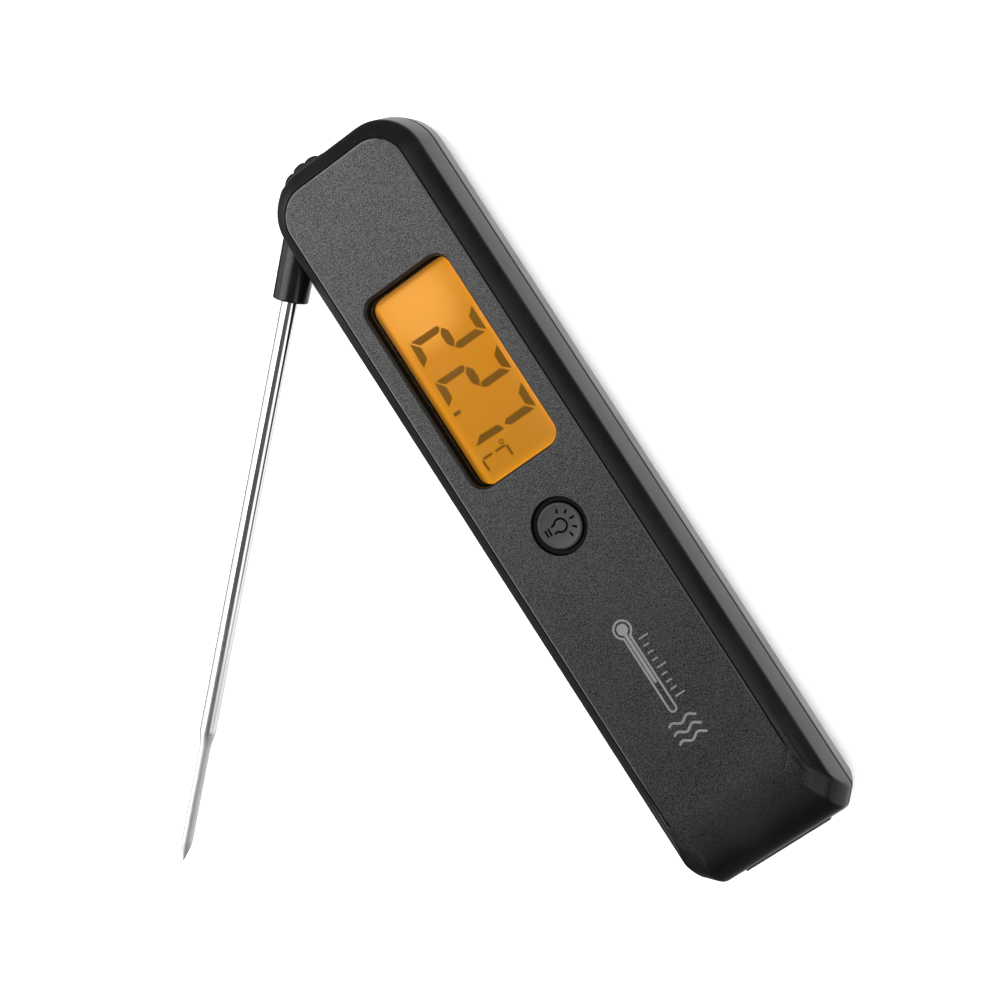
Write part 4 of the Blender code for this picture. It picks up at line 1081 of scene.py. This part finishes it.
def segment_ink():
    """Dark display segments that let a little of the backlight through."""
    shader = Shader("segment_ink")
    along = shader.axes()[1].line(WINDOW[1] - 21, WINDOW[1] + 21)
    color = shader.mix(along, rgb(0.165, 0.07, 0.002), rgb(0.24, 0.1, 0.004))
    cloud = shader.noise(1.2, 3.0).spread(0.0, 0.3)
    return glowing(shader, shader.mix(cloud, color, rgb(0.17, 0.075, 0.004)))


def clear_window():
    """Clear plastic: straight through, with a surface reflection that grows towards its edges."""
    shader = Shader("clear_window")
    marks = shader.noise(3.0, 5.0)
    clear = shader.add("BsdfTransparent", {"Color": grey(0.97, 0.01)})
    gloss = shader.add("BsdfGlossy", {"Color": grey(0.9), "Roughness": marks.spread(0.01, 0.05)})
    facing = shader.add("Fresnel", {"IOR": 1.45, "Normal": shader.relief(marks, 0.004)})
    mixed = shader.add("MixShader", {0: facing * 0.06, 1: clear, 2: gloss})
    shader.feed(shader.tree.nodes["Material Output"].inputs["Surface"], mixed)
    return shader.mat


def zebra_rubber():
    """Even dark and pink layers across the connector, with grain over them."""
    shader = Shader("zebra_rubber")
    pitch = 0.36
    wave = (shader.axes()[0] * (2 * pi / pitch)).math("SINE")
    grain = shader.noise(0.3, 3.0)
    color = shader.mix(wave.remap(-0.3, 0.3), grey(0.01), rgb(0.6, 0.28, 0.33))
    return shader.finish(shader.mix(grain * 0.3, color, grey(0.05)), grain.spread(0.55, 0.7),
                         grain, 0.008)


def circuit_board():
    """Green solder mask over copper tracks."""
    shader = Shader("circuit_board")
    cells = shader.add("TexVoronoi", {"Vector": shader.scaled([0.45, 0.45, 0.45]), "Scale": 1.0},
                       distance="MANHATTAN")
    weave = shader.noise(0.25, 3.0)
    track = (cells * 4.0).math("FRACT").remap(0.42, 0.5)
    color = shader.mix(track, rgb(0.008, 0.09, 0.03), rgb(0.02, 0.17, 0.06))
    return shader.finish(shader.mix(weave * 0.25, color, rgb(0.05, 0.2, 0.07)),
                         weave.spread(0.28, 0.42), track + weave * 0.2, 0.02)


def cell_jacket():
    """A dark cell jacket with one lighter band and bare metal ends."""
    shader = Shader("cell_jacket")
    low, high = node_box("battery_cell")
    along = shader.axes()[1]
    band = along.remap(low.y + 30, low.y + 30.3) * along.fall(low.y + 42.0, low.y + 42.3)
    ends = along.remap(high.y - 1.3, high.y - 1.1).max(along.fall(low.y + 0.4, low.y + 0.6))
    grain, marks = shader.noise(0.4, 3.0, (1, 8, 1)), shader.noise(5.0, 4.0)
    color = shader.mix(grain * 0.2, shader.mix(band, grey(0.03), rgb(0.3, 0.17, 0.05)), grey(0.12))
    return shader.finish(shader.mix(ends, color, grey(0.6, 0.01)), marks.spread(0.25, 0.4),
                         grain, 0.004, metallic=ends.remap(0.0, 1.0, 0.35, 1.0))


def make_materials():
    """Every finish by its key. A plain one gives its two tones, roughness, grain size and relief."""
    MATERIALS.update({
        "front": front_plastic(),
        "rear": textured("rear_plastic", grey(0.01), grey(0.02), (0.34, 0.42), 0.18, 0.004,
                         specular_ior_level=0.62),
        "button": cap_plastic(),
        "hub": hub_plastic(),
        "probe": steel_tube(),
        "lens": clear_window(),
        "segment": segment_ink(),
        "lcd": lit_glass(),
        "print": textured("panel_print", grey(0.06), grey(0.1), (0.5, 0.62), 0.2, 0.006),
        "screw": metal("black_zinc", grey(0.09), grey(0.16), (0.28, 0.42), 0.25, 0.006),
        "magnet": metal("brushed_nickel", grey(0.5, 0.02), grey(0.62, 0.02), (0.2, 0.32), 0.12, 0.003,
                        (1, 60, 1), 0.4),
        "steel": metal("turned_steel", grey(0.42), grey(0.55), (0.25, 0.4), 0.15, 0.003, (1, 1, 30)),
        "rubber": textured("black_rubber", grey(0.002), grey(0.005), (0.6, 0.75), 0.25, 0.01,
                           specular_ior_level=0.03),
        "frame": textured("black_frame", grey(0.01), grey(0.02), (0.5, 0.65), 0.3, 0.01),
        "guide": textured("light_guide", rgb(0.75, 0.6, 0.4), rgb(0.9, 0.82, 0.7), (0.25, 0.4), 0.8, 0.01),
        "led": textured("led_resin", rgb(0.7, 0.5, 0.12), rgb(0.9, 0.72, 0.3), (0.2, 0.35), 0.3, 0.005),
        "zebra": zebra_rubber(),
        "board": circuit_board(),
        "chip": textured("black_epoxy", grey(0.012), grey(0.028), (0.42, 0.6), 0.12, 0.006),
        "plunger": textured("grey_nylon", grey(0.24, 0.03), grey(0.32, 0.03), (0.45, 0.6), 0.3, 0.006),
        "cell": cell_jacket(),
        "contact": metal("plated_spring", grey(0.6, 0.04), grey(0.72, 0.04), (0.2, 0.34), 0.2, 0.003,
                         (1, 12, 1)),
        "wire_red": textured("red_insulation", rgb(0.36, 0.01, 0.01), rgb(0.5, 0.03, 0.02), (0.4, 0.55),
                             0.3, 0.006),
        "wire_black": textured("black_insulation", grey(0.012), grey(0.025), (0.4, 0.55), 0.3, 0.006),
        "bead": textured("sensor_bead", rgb(0.14, 0.05, 0.03), rgb(0.24, 0.1, 0.05), (0.1, 0.25), 0.2,
                         0.004, coat_weight=0.6),
    })


KEPT_FINISHES = {
    "rubber": ("case_gasket", "button_seal"),
    "frame": ("lcd_frame",),
    "lcd": ("lcd_glass",),
    "guide": ("backlight_guide",),
    "led": ("backlight_led_1", "backlight_led_2"),
    "zebra": ("zebra_strip",),
    "board": ("main_board",),
    "chip": ("controller_chip", "hall_sensor", "tact_switch"),
    "plunger": ("tact_plunger",),
    "steel": ("clock_crystal", "front_washer", "wave_washer"),
    "cell": ("battery_cell",),
    "contact": ("battery_spring", "spring_plate", "plus_contact"),
    "wire_red": ("wire_plus",),
    "wire_black": ("wire_minus", "body_lead", "probe_lead"),
    "screw": ("board_screw_1", "board_screw_2"),
    "bead": ("thermistor_bead",),
    "magnet": ("hub_magnet",),
}


def paint_kept_nodes():
    for finish, names in KEPT_FINISHES.items():
        for name in names:
            mesh = frame["nodes"][name].data
            mesh.materials.clear()
            mesh.materials.append(MATERIALS[finish])


# ---------------------------------------------------------------- stage

def aim(obj, place, target):
    back = (Vector(place) - Vector(target)).normalized()
    obj.rotation_mode = "QUATERNION"
    obj.location = place
    obj.rotation_quaternion = (-back).to_track_quat("-Z", "Y")


CAMERA_FILM = (36.0, 120.96)  # film width and focal length, in millimetres
CAMERA_PLACE = (0.2132, -0.0560, 0.6190)  # metres
CAMERA_AXES = ((0.772, -0.5381, -0.3384), (0.5347, 0.8376, -0.1121), (0.3438, -0.0944, 0.9343))


def camera():
    """The photograph's viewpoint; CAMERA_AXES are its right, up and back."""
    data = bpy.data.cameras.new("camera")
    data.sensor_width, data.lens = CAMERA_FILM
    obj = add_object("camera", data)
    turn = Matrix(CAMERA_AXES).transposed()
    obj.matrix_world = Matrix.Translation(CAMERA_PLACE) @ turn.to_4x4()
    bpy.context.scene.camera = obj


def softbox(name, place, size, power, target=(0.0, 0.0, 0.01)):
    light = bpy.data.lights.new(name, "AREA")
    light.shape = "RECTANGLE"
    light.size, light.size_y = size
    light.energy = power
    obj = add_object(name, light)
    obj.visible_camera = False
    aim(obj, place, target)
    return obj


def backdrop():
    """A pale dome behind low views, which lights and mirrors nothing."""
    shader = Shader("pale_backdrop")
    color = shader.mix(shader.noise(300.0, 3.0), grey(0.9), grey(0.95))
    mat = shader.finish(grey(0.0), 0.5, emission_color=color, emission_strength=1.0)
    radius = 5500.0
    profile = [(radius * cos(a), radius * sin(a)) for a in quarter(24)[:-1]]
    shell = [*profile, (0.0, radius), (0.0, radius + 50.0), (radius + 50.0, 0.0)]
    dome = turned("backdrop", shell, (0, 0), [mat], 96)
    dome.visible_diffuse = dome.visible_glossy = dome.visible_shadow = dome.visible_transmission = False


def pale_floor():
    """A wide, slightly mottled floor that mirrors in the object don't see."""
    shader = Shader("pale_floor")
    mottle = shader.noise(60.0, 4.0)
    mat = shader.finish(shader.mix(mottle, grey(0.86), grey(0.9)), 0.7, mottle, 0.02)
    span = 6000.0
    floor = loft("floor", [[(-span, -span, h), (span, -span, h), (span, span, h), (-span, span, h)]
                           for h in (-20.0, -0.02)], [mat])
    floor.visible_glossy = False


def surroundings():
    """A soft room for reflections: dim overall, with lobes of light in a few directions."""
    world = bpy.data.worlds.new("soft_room")
    bpy.context.scene.world = world
    room = Nodes(world)
    place = room.add("TexCoord", output="Generated")
    total = ROOM_LEVEL
    for direction, inner, outer, strength in ROOM_LOBES:
        toward = room.add("VectorMath", {0: place, 1: Vector(direction).normalized()}, "Value",
                          operation="DOT_PRODUCT")
        total = toward.remap(cos(radians(outer)), cos(radians(inner)), 0.0, strength) + total
    background = room.tree.nodes["Background"]
    room.feed(background.inputs["Strength"], total)
    room.feed(background.inputs["Color"], grey(1.0))


ROOM_LEVEL = 0.1
ROOM_LOBES = [  # direction, full within these degrees, gone beyond these degrees, strength
    ((0.25, 0.1, -0.96), 20, 62, 1.4),
    ((0.43, -0.74, 0.52), 8, 20, 1.2),
    ((0.51, -0.82, -0.26), 14, 28, 1.0),
    ((-0.78, 0.57, 0.25), 12, 34, 1.1),
    ((-0.86, 0.12, 0.48), 5, 17, 3.0),
    ((0.87, 0.05, 0.5), 4, 26, 0.8),
    ((-0.6, -0.6, 0.5), 6, 22, 0.5),
]


# ---------------------------------------------------------------- assembly

def place(obj, body, slot, *nodes):
    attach(obj, body)
    if nodes:
        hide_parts(*nodes)


def build():
    make_materials()
    place(front_casing(), "case", "case_front", "front_shell")
    place(rear_casing(), "case", "case_rear", "rear_shell")
    place(battery_cover(), "door", "case_rear", "battery_door")
    place(button_top(), "button", "button", "button_cap")
    place(window(), "case", "window", "display_lens")
    for obj in digits():
        place(obj, "case", "lcd")
    for obj in pictogram():
        place(obj, "case", "case_front")
    place(hub(), "probe", "hub", "probe_hub")
    place(probe_steel(), "probe", "probe", "probe_tube")
    for k in range(1, 5):
        place(screw(f"back_screw_{k}", f"case_screw_{k}"), "case", "screw", f"case_screw_{k}")
    for k in (1, 2):
        place(magnet(f"magnet_{k}", f"back_magnet_{k}"), "case", "magnet", f"back_magnet_{k}")
    place(pivot_pin(), "case", "steel", "hinge_pin")
    clear_tools()
    paint_kept_nodes()
    pale_floor()
    surroundings()
    softbox("key_light", (-0.29, 0.38, 0.47), (0.58, 0.58), 3.4, (-0.29, 0.38, 0.0))
    fill = softbox("floor_fill", (0.0, 0.0, 1.6), (3.0, 3.0), 105.0)
    fill.visible_glossy = False
    backdrop()
    camera()
    bpy.context.scene.view_settings.view_transform = "Standard"


build()
